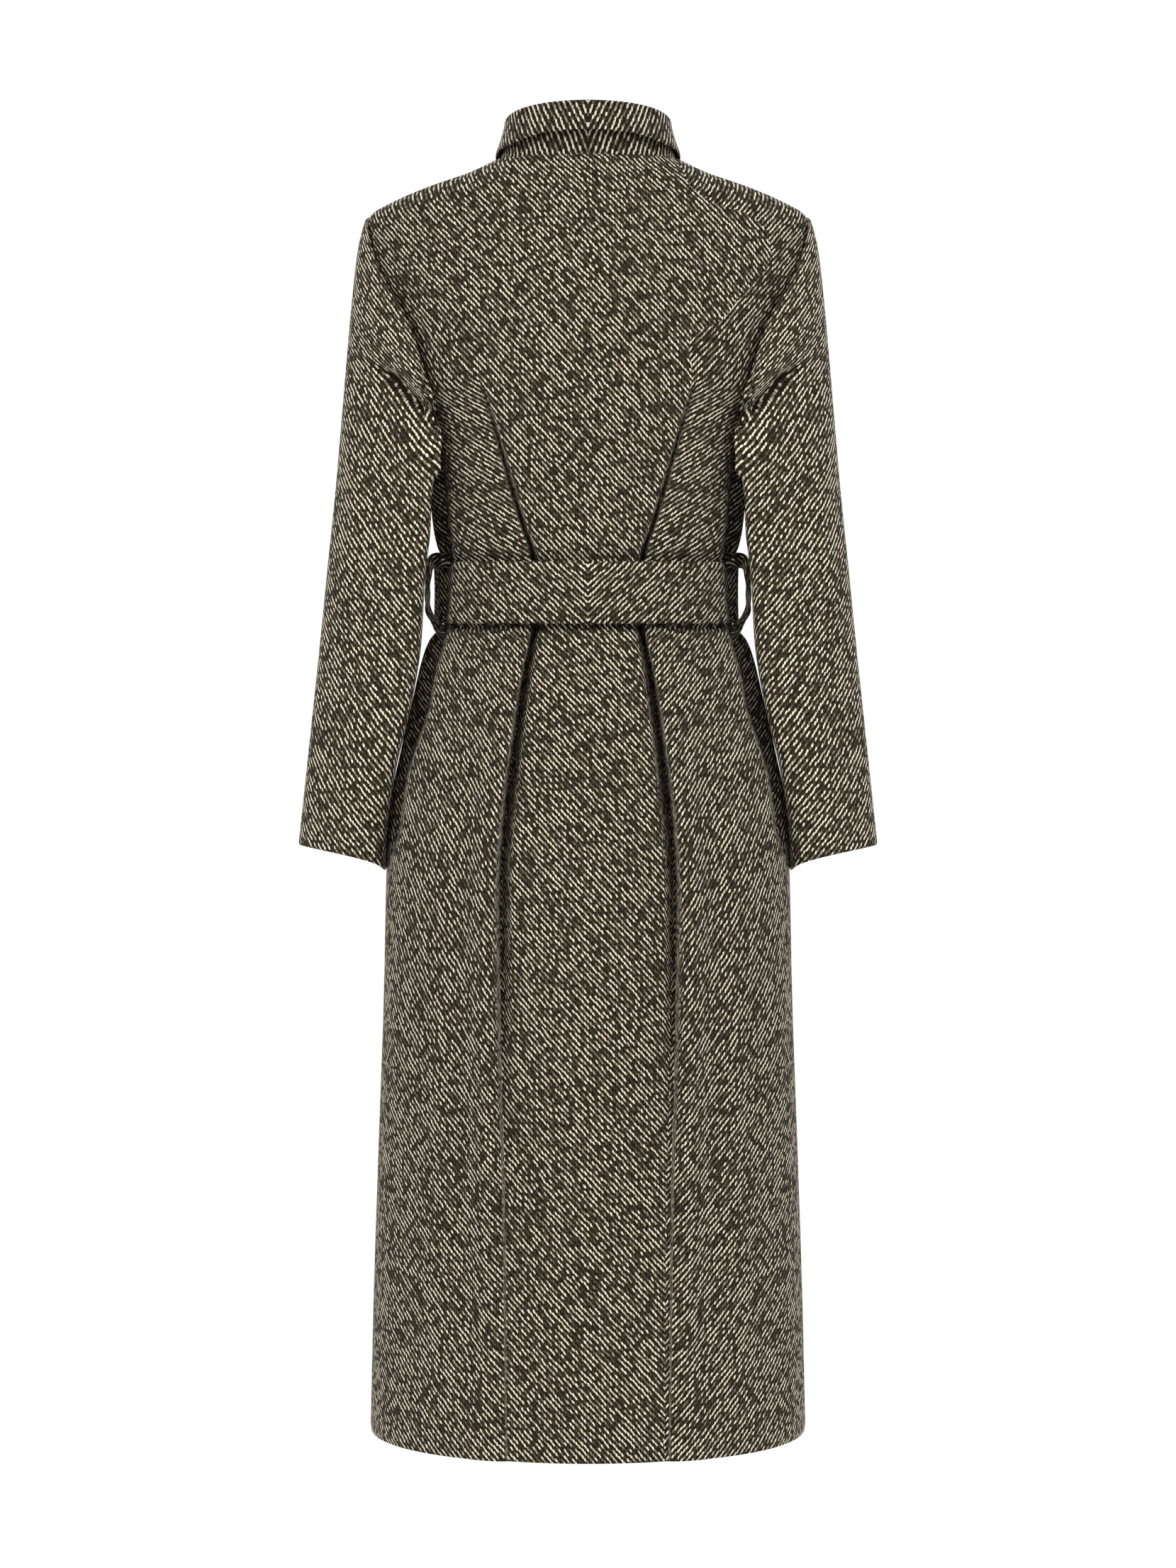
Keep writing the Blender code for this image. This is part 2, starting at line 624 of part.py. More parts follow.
def add_wall(name, faces_of_wall, material, collection, ring=False):
    """A closed wall between an outer and an inner grid of the same size."""
    outer, inner = faces_of_wall
    rows, columns = outer.shape[:2]
    layer = rows * columns
    spans = columns if ring else columns - 1
    faces = []

    def at(row, column):
        return row * columns + column % columns

    for row in range(rows - 1):
        for column in range(spans):
            quad = [at(row, column), at(row, column + 1), at(row + 1, column + 1), at(row + 1, column)]
            faces.append(quad)
            faces.append([layer + corner for corner in reversed(quad)])
    for row in (0, rows - 1):
        for column in range(spans):
            start, end = at(row, column), at(row, column + 1)
            faces.append([start, end, layer + end, layer + start])
    if not ring:
        for column in (0, columns - 1):
            for row in range(rows - 1):
                start, end = at(row, column), at(row + 1, column)
                faces.append([start, end, layer + end, layer + start])
    points = np.concatenate([outer.reshape(-1, 3), inner.reshape(-1, 3)])
    return add_mesh(name, points, faces, material, collection)


def add_cord(name, rings, material, collection):
    """A solid cord through a row of rings, closed at both ends."""
    rows, columns = rings.shape[:2]
    faces = [list(range(columns)), list(range((rows - 1) * columns, rows * columns))]
    for row in range(rows - 1):
        for column in range(columns):
            after = (column + 1) % columns
            low, high = row * columns, (row + 1) * columns
            faces.append([low + column, low + after, high + after, high + column])
    return add_mesh(name, rings.reshape(-1, 3), faces, material, collection)


def build():
    collection = bpy.data.collections.new("coat")
    bpy.context.scene.collection.children.link(collection)

    def cloth(name, colour=TWEED_COLOUR):
        return cloth_material(name + "_tweed", colour)

    add_wall("back", back_panel(), cloth("back"), collection)
    add_wall("front_left", front_panel(1), cloth("front_left"), collection)
    add_wall("front_right", front_panel(-1), cloth("front_right"), collection)
    add_wall("sleeve_left", sleeve_walls(1), cloth("sleeve_left"), collection, ring=True)
    add_wall("sleeve_right", sleeve_walls(-1), cloth("sleeve_right"), collection, ring=True)
    add_wall("collar_stand", collar_stand_walls(), cloth("collar_stand", COLLAR_COLOUR), collection)
    add_wall("collar_fall", collar_fall_walls(), cloth("collar_fall", COLLAR_COLOUR), collection)
    add_wall("belt_band", belt_walls(), cloth("belt_band", BELT_COLOUR), collection, ring=True)
    add_wall("belt_knot", knot_walls(), cloth("belt_knot", BELT_COLOUR), collection)
    add_wall("belt_end_left", end_walls(END_LEFT), cloth("belt_end_left", BELT_COLOUR), collection)
    add_wall("belt_end_right", end_walls(END_RIGHT), cloth("belt_end_right", BELT_COLOUR), collection)
    add_cord("belt_loop_left", loop_tube(1), cloth("belt_loop_left", BELT_COLOUR), collection)
    add_cord("belt_loop_right", loop_tube(-1), cloth("belt_loop_right", BELT_COLOUR), collection)


build()
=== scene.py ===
"""The looks of a long belted tweed coat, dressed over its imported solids.

Units are metres. Z is up, the coat's front faces -Y and its left side is +X.
The photograph shows the back, so the camera stands at +Y.
"""

import math
from collections import namedtuple

import bpy
import numpy as np
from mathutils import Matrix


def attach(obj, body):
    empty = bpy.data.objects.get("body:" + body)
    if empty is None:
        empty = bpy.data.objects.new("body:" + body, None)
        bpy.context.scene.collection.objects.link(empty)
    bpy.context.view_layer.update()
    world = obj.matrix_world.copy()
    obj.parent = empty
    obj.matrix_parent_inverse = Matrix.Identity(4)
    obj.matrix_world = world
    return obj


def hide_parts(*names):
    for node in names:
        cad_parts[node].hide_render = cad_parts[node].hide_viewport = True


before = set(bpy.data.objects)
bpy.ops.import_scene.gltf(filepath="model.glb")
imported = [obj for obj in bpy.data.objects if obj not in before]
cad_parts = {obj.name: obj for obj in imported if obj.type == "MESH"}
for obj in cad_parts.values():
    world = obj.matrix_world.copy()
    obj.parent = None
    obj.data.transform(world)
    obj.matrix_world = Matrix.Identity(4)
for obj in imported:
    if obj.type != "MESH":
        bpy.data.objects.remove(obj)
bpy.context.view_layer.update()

# Camera: the photograph's height in pixels, and where it was taken from
IMAGE_HEIGHT = 2212
METRES_PER_PIXEL = 0.0006667
EYE_DISTANCE = 3.2
EYE_HEIGHT = -0.4267
EYE_PIXEL = 880
SENSOR_MM = 36.0

# Cloth
WALL = 0.0026
SEAM_GAP = 0.0003
SET_IN_GAP = 1.5 * SEAM_GAP
LAYER = WALL + 0.0008
EDGE_ROUNDING = 0.3

# Neck
NECK_HALF_WIDTH = 0.082
NECK_HEIGHT = 0.0115
NAPE_HEIGHT = 0.008
FRONT_NECK_DROP = 0.0815

# Wrap fronts, and how far the right one's edge stands off
WRAP = 0.0555
WRAP_LIFTED = 0.0557
WRAP_EASED = 0.0705
EDGE_LIFT = 0.0040
EDGE_LIFT_WIDTH = 0.022

# Armhole
UNDERARM_HEIGHT = -0.252
SHOULDER_TIP_HEIGHT = -0.043

# Belt, and how it draws the cloth in along its edges
BELT_TOP = -0.3695
BELT_BOTTOM = -0.4265
BELT_THICKNESS = 0.005
BELT_GAP = 0.0012
BELT_CLEAR = 0.016
PINCH_BELOW = 0.0110
PINCH_ABOVE = 0.0060
PINCH_HEIGHT = 0.0042
PINCH_FACING = (0.15, 0.65)

# Torso sections, from the hem to the neck
Section = namedtuple("Section", "height half_width back_depth front_depth squareness")
TORSO = [
    Section(-1.180, 0.2040, 0.1500, 0.1420, 2.2),
    Section(-1.067, 0.2015, 0.1475, 0.1390, 2.2),
    Section(-0.907, 0.1963, 0.1440, 0.1340, 2.2),
    Section(-0.773, 0.1917, 0.1410, 0.1295, 2.2),
    Section(-0.667, 0.1895, 0.1375, 0.1255, 2.2),
    Section(-0.610, 0.1878, 0.1330, 0.1225, 2.2),
    Section(-0.543, 0.1755, 0.1230, 0.1175, 2.2),
    Section(-0.500, 0.1655, 0.1120, 0.1130, 2.2),
    Section(-0.455, 0.1545, 0.0980, 0.1060, 2.2),
    Section(-0.440, 0.1480, 0.0935, 0.1030, 2.2),
    Section(-0.4265, 0.1357, 0.0905, 0.1010, 2.2),
    Section(-0.398, 0.1350, 0.0900, 0.1005, 2.2),
    Section(-0.3695, 0.1357, 0.0905, 0.1010, 2.2),
    Section(-0.356, 0.1412, 0.0935, 0.1040, 2.2),
    Section(-0.340, 0.1450, 0.0965, 0.1075, 2.2),
    Section(-0.300, 0.1492, 0.1020, 0.1160, 2.25),
    Section(-0.252, 0.1530, 0.1065, 0.1220, 2.3),
    Section(-0.200, 0.1640, 0.1075, 0.1190, 2.3),
    Section(-0.156, 0.1780, 0.1060, 0.1100, 2.2),
    Section(-0.110, 0.1980, 0.1010, 0.0940, 2.1),
    Section(-0.080, 0.2065, 0.0960, 0.0810, 2.0),
    Section(-0.055, 0.2090, 0.0900, 0.0705, 2.0),
    Section(-0.043, 0.2055, 0.0870, 0.0660, 2.0),
    Section(-0.030, 0.1840, 0.0835, 0.0620, 2.0),
    Section(-0.0165, 0.1520, 0.0790, 0.0580, 2.0),
    Section(-0.004, 0.1150, 0.0725, 0.0540, 2.0),
    Section(0.0115, 0.0820, 0.0660, 0.0500, 2.0),
]

# How far out from the centre the armhole's edge lies, on the back and on the fronts
Armhole = namedtuple("Armhole", "height back_reach front_reach")
ARMHOLE = [
    Armhole(-0.252, 0.1530, 0.1530),
    Armhole(-0.238, 0.1400, 0.1415),
    Armhole(-0.218, 0.1420, 0.1415),
    Armhole(-0.197, 0.1495, 0.1465),
    Armhole(-0.177, 0.1570, 0.1530),
    Armhole(-0.156, 0.1650, 0.1600),
    Armhole(-0.130, 0.1800, 0.1725),
    Armhole(-0.105, 0.1945, 0.1860),
    Armhole(-0.080, 0.2010, 0.1960),
    Armhole(-0.060, 0.2040, 0.2020),
    Armhole(-0.043, 0.2055, 0.2055),
]

# The back's tucks: how far out each runs, the soft valley inside it, the fold that stands up
# outside it and how sharply it turns, and the depth and width of the slit that the cloth rolls into
Tuck = namedtuple("Tuck", "height reach valley ridge turn slit slit_width")
TUCK = [
    Tuck(-1.180, 0.0730, 0.0025, 0.0020, 0.0300, 0.0000, 0.0080),
    Tuck(-0.949, 0.0760, 0.0070, 0.0045, 0.0150, 0.0000, 0.0110),
    Tuck(-0.853, 0.0793, 0.0090, 0.0060, 0.0090, 0.0040, 0.0120),
    Tuck(-0.758, 0.0810, 0.0080, 0.0070, 0.0045, 0.0140, 0.0120),
    Tuck(-0.667, 0.0810, 0.0050, 0.0070, 0.0018, 0.0300, 0.0120),
    Tuck(-0.583, 0.0747, 0.0050, 0.0070, 0.0014, 0.0400, 0.0115),
    Tuck(-0.528, 0.0679, 0.0045, 0.0060, 0.0014, 0.0420, 0.0105),
    Tuck(-0.466, 0.0585, 0.0035, 0.0040, 0.0014, 0.0380, 0.0095),
    Tuck(-0.430, 0.0520, 0.0025, 0.0015, 0.0014, 0.0320, 0.0085),
    Tuck(-0.366, 0.0525, 0.0015, 0.0000, 0.0014, 0.0240, 0.0065),
    Tuck(-0.339, 0.0610, 0.0015, 0.0010, 0.0014, 0.0240, 0.0065),
    Tuck(-0.297, 0.0740, 0.0015, 0.0010, 0.0014, 0.0220, 0.0065),
    Tuck(-0.239, 0.0900, 0.0010, 0.0008, 0.0014, 0.0130, 0.0055),
    Tuck(-0.197, 0.1000, 0.0000, 0.0000, 0.0014, 0.0000, 0.0040),
    Tuck(-0.120, 0.1040, 0.0000, 0.0000, 0.0014, 0.0000, 0.0040),
    Tuck(-0.050, 0.0980, 0.0000, 0.0000, 0.0014, 0.0000, 0.0040),
    Tuck(0.0115, 0.0820, 0.0000, 0.0000, 0.0014, 0.0000, 0.0040),
]
TUCK_TOP = -0.197
VALLEY_WIDTH = 0.032
SLIT_FLOOR = 0.10
SLIT_UNDERCUT = 0.28
RIDGE_WIDTH = 0.022
RIDGE_PLACE = 0.012

# How far the cloth outside a tuck is turned from the grain in the middle
Lean = namedtuple("Lean", "height lean")
WEAVE_LEAN = [
    Lean(-1.180, 0.000),
    Lean(-0.850, 0.000),
    Lean(-0.640, -0.115),
    Lean(-0.4265, -0.125),
    Lean(-0.3695, 0.270),
    Lean(-0.240, 0.270),
    Lean(-0.120, 0.000),
    Lean(0.0115, 0.000),
]

# Where the twill turns over on the right of the back, above the tuck
Turn = namedtuple("Turn", "height reach")
TWILL_TURN = [
    Turn(-0.197, 0.0960),
    Turn(-0.173, 0.0921),
    Turn(-0.165, 0.0941),
    Turn(-0.147, 0.1238),
    Turn(-0.127, 0.1387),
    Turn(-0.105, 0.1600),
    Turn(-0.085, 0.1697),
    Turn(-0.061, 0.1633),
    Turn(-0.048, 0.1452),
    Turn(-0.041, 0.1187),
    Turn(-0.019, 0.0908),
    Turn(0.0115, 0.0820),
]
TURN_INSIDE_TUCK = 0.004

# Sleeve sections: the outer and inner edge as seen from behind, the depth, how far the front and
# the back wrap in round the body, and how free the section is of the armhole's shape
Sleeve = namedtuple("Sleeve", "outer_x outer_z inner_x inner_z mid_y half_depth front_wrap back_wrap free")
SLEEVE = [
    Sleeve(0.2135, -0.050, 0.1560, -0.257, 0.002, 0.085, 0.028, 0.028, 0.30),
    Sleeve(0.2170, -0.066, 0.1570, -0.263, 0.004, 0.083, 0.026, 0.029, 0.52),
    Sleeve(0.2215, -0.097, 0.1580, -0.270, 0.007, 0.080, 0.024, 0.033, 0.70),
    Sleeve(0.2245, -0.142, 0.1580, -0.279, 0.011, 0.077, 0.021, 0.037, 0.84),
    Sleeve(0.2280, -0.197, 0.1570, -0.294, 0.015, 0.073, 0.018, 0.054, 0.94),
    Sleeve(0.2320, -0.255, 0.1550, -0.318, 0.018, 0.069, 0.013, 0.042, 1.00),
    Sleeve(0.2368, -0.310, 0.1540, -0.350, 0.019, 0.065, 0.009, 0.040, 1.00),
    Sleeve(0.2428, -0.365, 0.1545, -0.390, 0.016, 0.062, 0.005, 0.034, 1.00),
    Sleeve(0.2492, -0.425, 0.1570, -0.445, 0.010, 0.060, 0.002, 0.033, 1.00),
    Sleeve(0.2560, -0.485, 0.1675, -0.503, 0.003, 0.058, 0.000, 0.034, 1.00),
    Sleeve(0.2630, -0.545, 0.1815, -0.564, -0.005, 0.056, 0.000, 0.030, 1.00),
    Sleeve(0.2690, -0.595, 0.1885, -0.617, -0.013, 0.054, 0.000, 0.026, 1.00),
    Sleeve(0.2737, -0.635, 0.1905, -0.659, -0.019, 0.053, 0.000, 0.024, 1.00),
]

# The collar round the neck, by angle from the centre back
Collar = namedtuple("Collar", "angle roll_reach roll_height fall_flare fall_drop")
COLLAR = [
    Collar(0, 0.0640, 0.0535, 0.0120, 0.0225),
    Collar(30, 0.0655, 0.0526, 0.0112, 0.0240),
    Collar(60, 0.0700, 0.0496, 0.0098, 0.0290),
    Collar(90, 0.0722, 0.0446, 0.0090, 0.0300),
    Collar(120, 0.0712, 0.0330, 0.0200, 0.0345),
    Collar(150, 0.0665, 0.0080, 0.0380, 0.0490),
    Collar(180, 0.0645, -0.0260, 0.0450, 0.0580),
]
ROLL_RADIUS = 0.0032
FALL_CURVE = 1.3
COLLAR_END = 177.0
STAND_INSET = 0.0036
STAND_TURNING = 0.006

# Belt loops: narrow tubes of the same cloth, darkened as painted shade, fuller where they are sewn in
# above the belt
LOOP_PLACE = 0.026
Loop = namedtuple("Loop", "height stand_off radius")
LOOP = [
    Loop(-0.3680, -0.0040, 0.0070),
    Loop(-0.3672, 0.0045, 0.0076),
    Loop(-0.3685, 0.0110, 0.0068),
    Loop(-0.3740, 0.0162, 0.0044),
    Loop(-0.3860, 0.0184, 0.0028),
    Loop(-0.4000, 0.0188, 0.0025),
    Loop(-0.4120, 0.0182, 0.0027),
    Loop(-0.4220, 0.0135, 0.0034),
    Loop(-0.4295, 0.0065, 0.0044),
    Loop(-0.4335, -0.0010, 0.0052),
    Loop(-0.4345, -0.0060, 0.0050),
]
LOOP_FLUTES = 2
LOOP_FLUTE_DEPTH = 0.13
LOOP_TWIST_PITCH = 0.016
LOOP_HOLLOW = 0.55
LOOP_GRAIN = 0.5

# Belt knot and ends
KNOT_HALF_WIDTH = 0.024
KNOT_THICKNESS = 0.006
KNOT_HOLLOW = 0.011
KNOT_OVERLAP = 0.007
KNOT_GAP = 0.0008
KNOT_SPREAD = 0.12
KNOT_CROWN = 0.25
KNOT_EDGE = 0.35
KNOT_LIP = 0.002
KNOT_FOLD = 0.0014
KNOT_FOLDS = 3
End = namedtuple("End", "height centre half_width stand_off")
END_LEFT = [
    End(-0.8000, 0.0480, 0.0285, 0.0042),
    End(-0.6400, 0.0370, 0.0285, 0.0042),
    End(-0.5400, 0.0270, 0.0280, 0.0042),
    End(-0.4700, 0.0165, 0.0230, 0.0045),
    End(-0.4380, 0.0120, 0.0160, 0.0048),
]
END_RIGHT = [
    End(-0.7700, -0.0560, 0.0285, 0.0042),
    End(-0.6400, -0.0440, 0.0285, 0.0062),
    End(-0.5400, -0.0330, 0.0280, 0.0097),
    End(-0.4700, -0.0175, 0.0230, 0.0099),
    End(-0.4380, -0.0120, 0.0160, 0.0102),
]

# Creases: the side they face, how deep and wide they are, how high the fold
# beside them stands, and their path as distance across and height
Crease = namedtuple("Crease", "facing depth width ridge path")
SLEEVE_CREASES = [
    Crease("back", 0.0100, 0.0066, 0.0038, [
        (0.193, -0.190), (0.168, -0.216), (0.155, -0.226), (0.137, -0.247)]),
    Crease("back", 0.0110, 0.0034, 0.0000, [
        (0.202, -0.182), (0.168, -0.216), (0.155, -0.226), (0.140, -0.243), (0.133, -0.250)]),
    Crease("back", -0.0060, 0.0090, 0.0000, [
        (0.175, -0.270), (0.150, -0.279), (0.134, -0.286), (0.120, -0.292)]),
    Crease("back", -0.0025, 0.0140, 0.0000, [(0.193, -0.440), (0.212, -0.553), (0.226, -0.607)]),
    Crease("back", -0.0025, 0.0100, 0.0000, [
        (0.217, -0.250), (0.214, -0.323), (0.221, -0.375), (0.229, -0.440)]),
    Crease("front", 0.0040, 0.0090, 0.0015, [(0.205, -0.175), (0.178, -0.205), (0.150, -0.240)]),
    Crease("front", 0.0035, 0.0080, 0.0015, [(0.225, -0.330), (0.195, -0.352), (0.165, -0.362)]),
    Crease("front", 0.0030, 0.0080, 0.0015, [(0.235, -0.385), (0.205, -0.398), (0.172, -0.402)]),
    Crease("front", -0.0025, 0.0140, 0.0000, [(0.205, -0.440), (0.222, -0.540), (0.238, -0.600)]),
]
BACK_CREASES = [
    Crease("back", 0.0045, 0.0150, 0.0015, [
        (0.092, -0.474), (0.108, -0.589), (0.114, -0.664), (0.113, -0.885), (0.108, -1.190)]),
    Crease("back", 0.0025, 0.0180, 0.0000, [(0.150, -0.700), (0.160, -0.900), (0.164, -1.190)]),
    Crease("back", -0.0025, 0.0090, 0.0000, [(0.070, -0.352), (0.100, -0.351), (0.128, -0.351)]),
]
FRONT_CREASES = [
    Crease("front", 0.0045, 0.0160, 0.0015, [
        (0.070, -0.450), (0.090, -0.600), (0.100, -0.850), (0.104, -1.190)]),
    Crease("front", 0.0030, 0.0180, 0.0000, [(0.130, -0.470), (0.150, -0.700), (0.158, -1.190)]),
    Crease("front", 0.0030, 0.0100, 0.0010, [(0.040, -0.362), (0.075, -0.325), (0.110, -0.280)]),
    Crease("front", -0.0030, 0.0100, 0.0000, [(0.030, -0.353), (0.080, -0.352), (0.128, -0.351)]),
]
FACING = {"back": (0.0, 1.0, 0.0), "front": (0.0, -1.0, 0.0)}

# The share of a crease's path that it takes to fade in, how squarely the cloth faces the crease's
# side where it fades out, the place and width of the fold beside it in crease widths, and how far
# from the armhole's seam a sleeve's creases reach their depth
CREASE_FADE = 0.22
CREASE_FACING = (0.05, 0.45)
RIDGE_AWAY = 1.9
RIDGE_SPREAD = 1.2
CREASE_SEAM_CLEAR = 0.006

# The fold under each sleeve: where the back turns away, and the share of its depth that it gives up
Fold = namedtuple("Fold", "height reach share")
SIDE_FOLD = [
    Fold(-0.668, 0.1850, 0.00),
    Fold(-0.650, 0.1820, 0.45),
    Fold(-0.634, 0.1770, 0.60),
    Fold(-0.606, 0.1690, 0.65),
    Fold(-0.573, 0.1665, 0.65),
    Fold(-0.539, 0.1565, 0.65),
    Fold(-0.505, 0.1450, 0.62),
    Fold(-0.479, 0.1410, 0.62),
    Fold(-0.463, 0.1375, 0.62),
    Fold(-0.448, 0.1321, 0.62),
    Fold(-0.431, 0.1295, 0.60),
    Fold(-0.398, 0.1262, 0.55),
    Fold(-0.356, 0.1243, 0.62),
    Fold(-0.333, 0.1269, 0.62),
    Fold(-0.290, 0.1295, 0.62),
    Fold(-0.267, 0.1331, 0.62),
    Fold(-0.258, 0.1345, 0.60),
    Fold(-0.250, 0.1360, 0.00),
]
SIDE_FOLD_TURN = 0.0045

# Seams: how far the cloth dips beside one, and over what distance
SEAM_DIP = 0.0012
SEAM_WIDTH = 0.0026

# Grid steps and samples, how the columns crowd together, the first row of a sleeve that is clear of
# its armhole, and the widest share of a row at which its outer columns may start
BACK_INNER_STEPS = 30
BACK_OUTER_STEPS = 40
INNER_CROWDING = 1.35
OUTER_CROWDING = 1.35
FRONT_INNER_STEPS = 22
FRONT_OUTER_STEPS = 34
WRAP_STEPS = 16
SKIRT_STEPS = 206
ARMHOLE_STEPS = 54
SLEEVE_SIDES = 60
SLEEVE_STEPS = 270
SLEEVE_FREE_ROW = 81
COLLAR_STEPS = 150
FALL_SAMPLES = 600
STAND_STEPS = 10
ROLL_STEPS = 7
FALL_STEPS = 10
BELT_STEPS = 110
BELT_ROWS = 14
KNOT_ROWS = 26
KNOT_COLUMNS = 22
END_ROWS = 80
END_COLUMNS = 16
LOOP_STEPS = 90
LOOP_SIDES = 20
SLOPE_STEP = 0.0005
SHOULDER_SAMPLES = 400
STATION_LIMIT = 0.98
TINY = 1e-12

# Weave maps: what is kept of a path that is measured level, and the sleeve front's radius of turn
LEVEL = np.array([1.0, 1.0, 0.0])
FRONT_TURN_RADIUS = 0.060

# The tweed's lattice of pale yarn, as two steps from one dash to the next in metres
STEP_DOWN = (0.00258, 0.00278)
STEP_UP = (0.00258, -0.00304)

# Dashes, in lattice steps: the pale ones' width, the size and random start of the dark ones between
# them, where their soft edge begins and ends, how far each wanders, and their skew
DASH_WIDTH = 0.215
DARK_LENGTH = 0.62
DARK_WIDTH = 0.42
DARK_SEED = 7.0
DASH_EDGE = (1.25, 0.35)
DASH_WANDER = (0.22, 0.16)
DASH_SKEW = 0.14

# How the tweed of each part differs: the twill's lean in degrees, its scale, its tone (raised on the
# sleeves as painted light, lowered on the belt loops as painted shade), the start of its random numbers,
# the length of its dashes, and how readily a dash is left out
Tweed = namedtuple("Tweed", "lean coarseness brightness seed dash_length bare")
TWEEDS = {
    "body_tweed": Tweed(0.0, 1.00, 1.00, 0.0, 0.64, 0.30),
    # painted light: the sleeves' tweed is made lighter than the body's to stand in for the light on them
    "sleeve_tweed": Tweed(0.0, 1.00, 1.13, 3.0, 0.64, 0.30),
    "collar_tweed": Tweed(20.0, 1.28, 0.86, 5.0, 0.74, 0.22),
    "belt_tweed": Tweed(-4.0, 1.00, 1.00, 9.0, 0.64, 0.30),
    # painted shade: the loops' tweed is made much darker to stand in for the shade they hang in
    "loop_tweed": Tweed(0.0, 1.00, 0.45, 13.0, 0.64, 0.30),
}

# The tweed's noise: scales per metre, sizes, and the spans over which one look gives way to the next
RAGGED_SCALE = 260.0
RAGGED_SIZE = 0.006
TURN_BLUR = 0.00001
WANDER = [(70.0, 0.0022), (620.0, 0.0011)]
PATCH_SCALE = 105.0
CHANCE_WEIGHT = 0.50
PATCH_WEIGHT = 0.60
BARE_SPAN = 0.36
FAINT_DASH = 0.12
YARN_SCALE = 1900.0
YARN_SPAN = (0.25, 0.60)
YARN_SHADE = (0.72, 1.0)
OLIVE_SCALE = 330.0
OLIVE_SPAN = (0.44, 0.58)
MAROON_SCALE = 410.0
MAROON_SPAN = (0.54, 0.66)
GROUND_DETAIL = 3.0
DARK_SHARE = (0.85, 0.12)
IVORY_SPAN = (0.15, 0.75)

# The tweed's surface: the rise of each yarn, its bump, roughness and sheen
DASH_RISE = 0.8
DARK_RISE = 0.5
YARN_RISE = 0.3
BUMP_STRENGTH = 0.7
BUMP_DEPTH = 0.0007
ROUGH_SPAN = (0.20, 0.80)
ROUGHNESS = (0.82, 0.98)
SPECULAR = 0.04
SHEEN = 0.02
SHEEN_ROUGHNESS = 0.6

# Yarn colours
IVORY = (0.96, 0.87, 0.69, 1.0)
IVORY_GREY = (0.46, 0.39, 0.29, 1.0)
BLACK_BROWN = (0.004, 0.003, 0.0025, 1.0)
BROWN = (0.012, 0.009, 0.007, 1.0)
OLIVE = (0.032, 0.032, 0.010, 1.0)
MAROON = (0.042, 0.017, 0.014, 1.0)

# Studio: the floor, the even light, and a soft key light high on each corner
FLOOR_HEIGHT = -1.90
FLOOR_RADIUS = 2.0
FLOOR_SIDES = 96
AMBIENT = 0.62
KEY_POWER = 46.0
KEY_SIZE = (1.6, 2.2)
KEY_PLACE = (1.9, 2.7, 1.25)
COAT_MIDDLE = (0.0, 0.0, -0.55)
FLOOR_PALE = (0.93, 0.93, 0.93, 1.0)
FLOOR_PALER = (0.95, 0.95, 0.95, 1.0)
FLOOR_MOTTLE = 3.0
FLOOR_ROUGHNESS = 0.9
FLOOR_GLOW = 0.12
WHITE = (1.0, 1.0, 1.0, 1.0)

# The flat cut of each piece: the width and length of the cloth it takes, the area cut and what it
# hangs on; then its tweed, its material slot, and whether it is a closed ring
Cut = namedtuple("Cut", "width length area hangs_on tweed slot ring")
CUTS = {
    "back": Cut(0.660, 1.250, 0.6400, "collar_stand", "body_tweed", "body_tweed", False),
    "front_left": Cut(0.400, 1.220, 0.3400, "back", "body_tweed", "body_tweed", False),
    "front_right": Cut(0.400, 1.220, 0.3400, "back", "body_tweed", "body_tweed", False),
    "sleeve_left": Cut(0.380, 0.640, 0.1760, "back", "sleeve_tweed", "sleeve_tweed", True),
    "sleeve_right": Cut(0.380, 0.640, 0.1760, "back", "sleeve_tweed", "sleeve_tweed", True),
    "collar_stand": Cut(0.480, 0.075, 0.0265, "back", "collar_tweed", "collar_tweed", False),
    "collar_fall": Cut(0.540, 0.075, 0.0258, "collar_stand", "collar_tweed", "collar_tweed", False),
    "belt_band": Cut(0.802, 0.057, 0.0455, "back", "belt_tweed", "belt_tweed", True),
    "belt_knot": Cut(0.062, 0.085, 0.0045, "belt_band", "belt_tweed", "belt_tweed", False),
    "belt_end_left": Cut(0.057, 0.380, 0.0213, "belt_knot", "belt_tweed", "belt_tweed", False),
    "belt_end_right": Cut(0.057, 0.355, 0.0199, "belt_knot", "belt_tweed", "belt_tweed", False),
    "belt_loop_left": Cut(0.025, 0.095, 0.0018, "back", "loop_tweed", "belt_tweed", True),
    "belt_loop_right": Cut(0.025, 0.095, 0.0018, "back", "loop_tweed", "belt_tweed", True),
}


def eased(rows, column, at):
    """One column of a table, on a smooth curve through its rows that never overshoots."""
    key = np.array([row[0] for row in rows])
    value = np.array([getattr(row, column) for row in rows])
    return eased_through(key, value, at)


def eased_through(key, value, at):
    """A smooth curve through values at rising keys, level past both ends."""
    step = np.diff(key)
    slope = np.diff(value) / step
    tangent = np.zeros(len(key))
    tangent[0] = slope[0]
    tangent[-1] = slope[-1]
    same_way = slope[:-1] * slope[1:] > 0
    total = np.where(same_way, slope[:-1] + slope[1:], 1.0)
    tangent[1:-1] = np.where(same_way, 2 * slope[:-1] * slope[1:] / total, 0.0)
    at = np.clip(np.asarray(at, float), key[0], key[-1])
    index = np.clip(np.searchsorted(key, at, side="right") - 1, 0, len(step) - 1)
    t = (at - key[index]) / step[index]
    start = (1 + 2 * t) * (1 - t) ** 2 * value[index] + t * (1 - t) ** 2 * step[index] * tangent[index]
    end = t**2 * (3 - 2 * t) * value[index + 1] + t**2 * (t - 1) * step[index] * tangent[index + 1]
    return start + end


